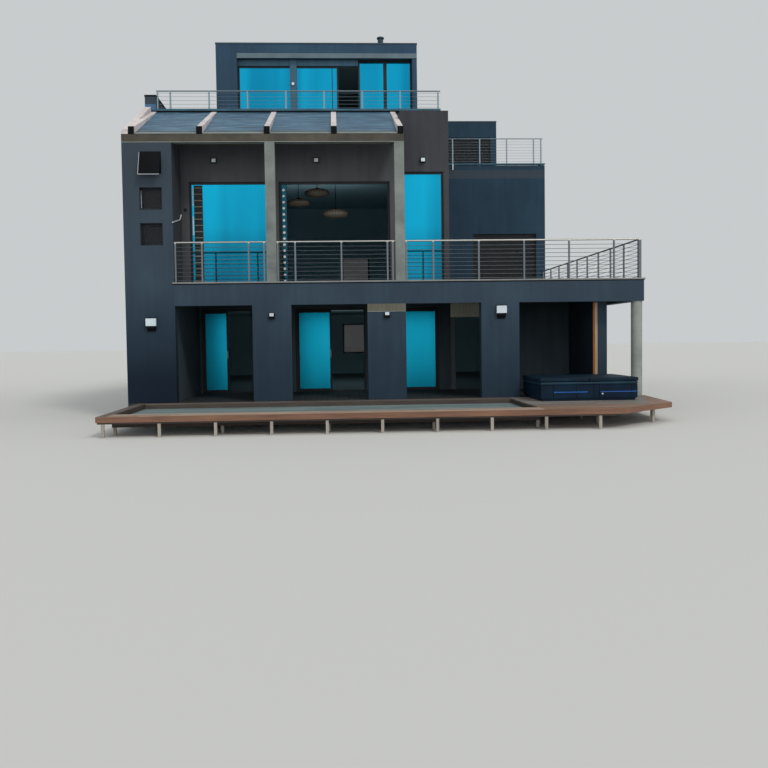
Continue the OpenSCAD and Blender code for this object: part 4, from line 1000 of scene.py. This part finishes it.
# %% Hot tub
(x1, y1, z1), (x2, y2, z2) = measures("hot_tub")
rim_z = z2 - 0.070
side_length = 1.98
cabinet = [board((x1 + 0.012, y1 + 0.012, 0.055), (x2 - 0.012, y2 - 0.012, rim_z), 0),
           board((x1 + 0.04, y1 + 0.04, 0), (x2 - 0.04, y2 - 0.04, 0.06), 0)]
seams = [x1, 10.036, 10.570, 10.980, 11.110, 11.870, x2]
for start, end in zip(seams, seams[1:]):
    cabinet.append(board((start + 0.003, y1, 0.060), (end - 0.003, y1 + 0.014, rim_z - 0.004),
                         0.004))
for x in (x1, x2 - 0.014):
    for start in (0.0, 0.5):
        cabinet.append(board(
            (x, y1 + 0.014 + start * side_length, 0.060),
            (x + 0.014, y1 + 0.004 + (start + 0.5) * side_length, rim_z - 0.004), 0.004))
fit("tub_cabinet", cabinet, "tub_panel", ["hot_tub"])
fit("tub_rim", board((x1 - 0.004, y1 - 0.004, rim_z), (x2 + 0.004, y2, z2), 0.022, 3),
    "tub_rim", ["hot_tub"])
strips = [board((start, y1 - 0.004, 0.193), (end, y1 + 0.004, 0.213), 0.002)
          for start, end in [(10.050, 10.838), (11.134, 11.990)]]
fit("tub_light_strips", strips, "blue_acrylic", ["hot_tub"])
fit("tub_lamp", rod((11.186, y1 - 0.006, 0.158), (11.186, y1 + 0.006, 0.158), 0.020, 24),
    "white_coat", ["hot_tub"])
(x1, y1, z1), (x2, y2, z2) = measures("hot_tub_cover")
fold = (x1 + x2) / 2
halves = [board((x1, y1, z1 + 0.004), (fold - 0.004, y2, z2), 0.020, 3),
          board((fold + 0.004, y1, z1 + 0.004), (x2, y2, z2), 0.020, 3),
          board((fold - 0.060, y1 + 0.02, z2 - 0.006), (fold + 0.060, y2 - 0.02, z2 + 0.004),
                0.004)]
fit("tub_cover", halves, "vinyl_cover", ["hot_tub_cover"])
print("tub cabinet parts", len(cabinet), "rim at", rim_z)

# %% [markdown]
# The deck is laid board by board, with a gap between boards and staggered butt joints. A board is
# modelled once and copied over the field's whole box, and each copy gets a tone, as a number on
# its faces. The boards are joined, and the field's outline cuts them to shape and closes the cut
# ends, so a field may have slanting sides.

# %% Board fields


def clip(piece, corners):
    """Keeps what lies inside an outline of corners, given counterclockwise."""
    mesh = bmesh.new()
    mesh.from_mesh(piece.data)
    for (x1, y1), (x2, y2) in zip(corners, corners[1:] + corners[:1]):
        parts = mesh.verts[:] + mesh.edges[:] + mesh.faces[:]
        cut = bmesh.ops.bisect_plane(mesh, geom=parts, plane_co=at(x1, y1, 0),
                                     plane_no=(y2 - y1, x1 - x2, 0), clear_outer=True)
        rim_edges = [item for item in cut["geom_cut"] if isinstance(item, bmesh.types.BMEdge)]
        if rim_edges:
            bmesh.ops.holes_fill(mesh, edges=rim_edges)
    mesh.to_mesh(piece.data)
    mesh.free()


def board_field(name, corners, along, top, material, stands_for, width=0.140):
    """Boards that fill an outline, with their length along a direction."""
    gap, thick, length = 0.006, 0.028, 2.4
    along = Vector((*along, 0)).normalized()
    across = Vector((-along.y, along.x, 0))
    spans = [Vector((x, y, 0)) for x, y in corners]
    start, stop = (find(spot.dot(along) for spot in spans) for find in (min, max))
    near, far = (find(spot.dot(across) for spot in spans) for find in (min, max))
    rows = max(1, round((far - near) / width))
    pitch = (far - near) / rows
    master = board((0, 0, -thick), (1, pitch - gap, 0), 0.002)
    turn = Matrix((along, across, (0, 0, 1))).transposed().to_4x4()
    stretch = Matrix.Diagonal((length - gap, 1, 1, 1))
    pieces = []
    for row in range(rows):
        spot = across * (near + row * pitch + gap / 2)
        place = start - random.uniform(0.1, 0.9) * length
        while place < stop:
            twin = copy_at(master, -facade)
            move = spot + along * (place + gap / 2) + Vector((0, 0, top))
            twin.data.transform(Matrix.Translation(facade + move) @ turn @ stretch)
            tone = twin.data.attributes.new("board_tone", "FLOAT", "FACE")
            tone.data.foreach_set("value", [random.uniform(0.25, 0.80)] * len(tone.data))
            pieces.append(twin)
            place += length
    bpy.data.objects.remove(master)
    clip(fit(name, pieces, material, stands_for), corners)


def rectangle(left, front, right, back):
    """The corners of a field, counterclockwise."""
    return [(left, front), (right, front), (right, back), (left, back)]


kerb_x, step_x = 0.450, 9.320
front_y, rim_y, ledge_y, wall_y = -4.025, -3.400, -0.250, -0.002
spa_corner, spa_back = (11.900, -2.870), (12.632, wall_y)
board_field("sunken_deck", rectangle(kerb_x, rim_y, step_x, ledge_y), (1, 0), -0.120,
            "grey_decking", ["deck_boards"])
board_field("spa_deck", [(step_x, spa_corner[1]), spa_corner, spa_back, (step_x, wall_y)],
            (1, 0), 0.0, "spa_decking", ["deck_boards"])
print("deck fields from", kerb_x, "by", step_x, "to", spa_corner)

# %% [markdown]
# Border boards frame the two levels: a kerb at the left, a ledge along the house, four boards
# along the front, and a mitred band round the spa platform's slanting corner. They are laid in
# the same way, each band along its own direction. Risers close the step between the levels.

# %% Deck borders
turn, nose = (10.940, front_y), (12.468, -2.553)
borders = [
    # The left kerb gets the darker copy of the timber: painted shade.
    ("left_kerb", rectangle(0.275, front_y, kerb_x, wall_y), (0, 1), "shade_brown_timber", 0.155),
    ("front_border", rectangle(kerb_x, front_y, step_x, rim_y), (1, 0), "tan_timber", 0.155),
    ("spa_front_border", [(step_x, front_y), turn, spa_corner, (step_x, spa_corner[1])],
     (1, 0), "warm_timber", 0.155),
    ("corner_border", [turn, nose, spa_corner], (0.7187, 0.6953), "warm_timber", 0.155),
    ("right_border", [spa_corner, nose, (12.705, wall_y), spa_back], (0.09, 1),
     "warm_timber", 0.155),
    ("house_ledge", rectangle(kerb_x, ledge_y, step_x, wall_y), (1, 0), "shade_brown_timber", 0.125)]
for name, corners, along, material, width in borders:
    board_field(name, corners, along, 0.0, material, ["deck_borders"], width)
thick = 0.007
x1, y1, x2, y2 = kerb_x - 0.001, rim_y - 0.001, step_x + 0.001, ledge_y + 0.001
risers = [board((*near, -0.119), (*far, -0.024), 0.002) for near, far in [
    ((x1 + thick, y2 - thick), (x2 - thick, y2)), ((x1 + thick, y1), (x2 - thick, y1 + thick)),
    ((x1, y1), (x1 + thick, y2)), ((x2 - thick, y1), (x2, y2))]]
fit("deck_risers", risers, "riser_timber")
print("border bands", len(borders))

# %% [markdown]
# The stage is a plain pale floor under an even sky. The key lamp stands high at the front right.
# The second stands low over the sea, and throws daylight far in under the balcony and the loggia.
# Both stay low enough for a colour to show about as it is written. In two rooms a weak unseen
# panel lights the ceiling, for the daylight of the windows at their back.

# %% Floor and light
floor = fresh(bpy.ops.mesh.primitive_circle_add, vertices=64, radius=240, fill_type="NGON",
              location=(0, 0, -0.002))
floor.name = "studio_floor"
feed(blank("studio_floor_paint")[1], {"Base Color": "D9D8D4", "Roughness": 0.9})
floor.data.materials.append(paints["studio_floor_paint"])
world = bpy.data.worlds.new("studio_sky")
bpy.context.scene.world = world
world.use_nodes = True
feed(world.node_tree.nodes["Background"], {"Color": "EEF2F4", "Strength": 0.68})


def lamp(name, kind, colour, turn, spot=(0, 0, 0), **settings):
    """A lamp with its colour, its rotation in degrees, its place and its settings."""
    data = bpy.data.lights.new(name, kind)
    data.color = colour
    for key, value in settings.items():
        setattr(data, key, value)
    light = bpy.data.objects.new(name, data)
    light.location = spot
    light.rotation_euler = [math.radians(angle) for angle in turn]
    bpy.context.scene.collection.objects.link(light)
    return light


lamp("key_sun", "SUN", (1.0, 0.97, 0.93), (48, -8, 38), energy=0.9, angle=math.radians(12))
lamp("sea_light", "SUN", (0.96, 0.98, 1.0), (85, 0, 0), energy=0.9, angle=math.radians(55))
for name, spot, energy, size in [("ground_room_light", (5.5, 9.0, 1.2), 62, 5.0),
                                 ("living_room_light", (4.2, 10.0, 5.6), 26, 4.0)]:
    panel = lamp(name, "AREA", (0.84, 1.0, 1.03), (180, 0, 0), at(*spot), energy=energy, size=size)
    panel.visible_camera = False
print("lamps ready")
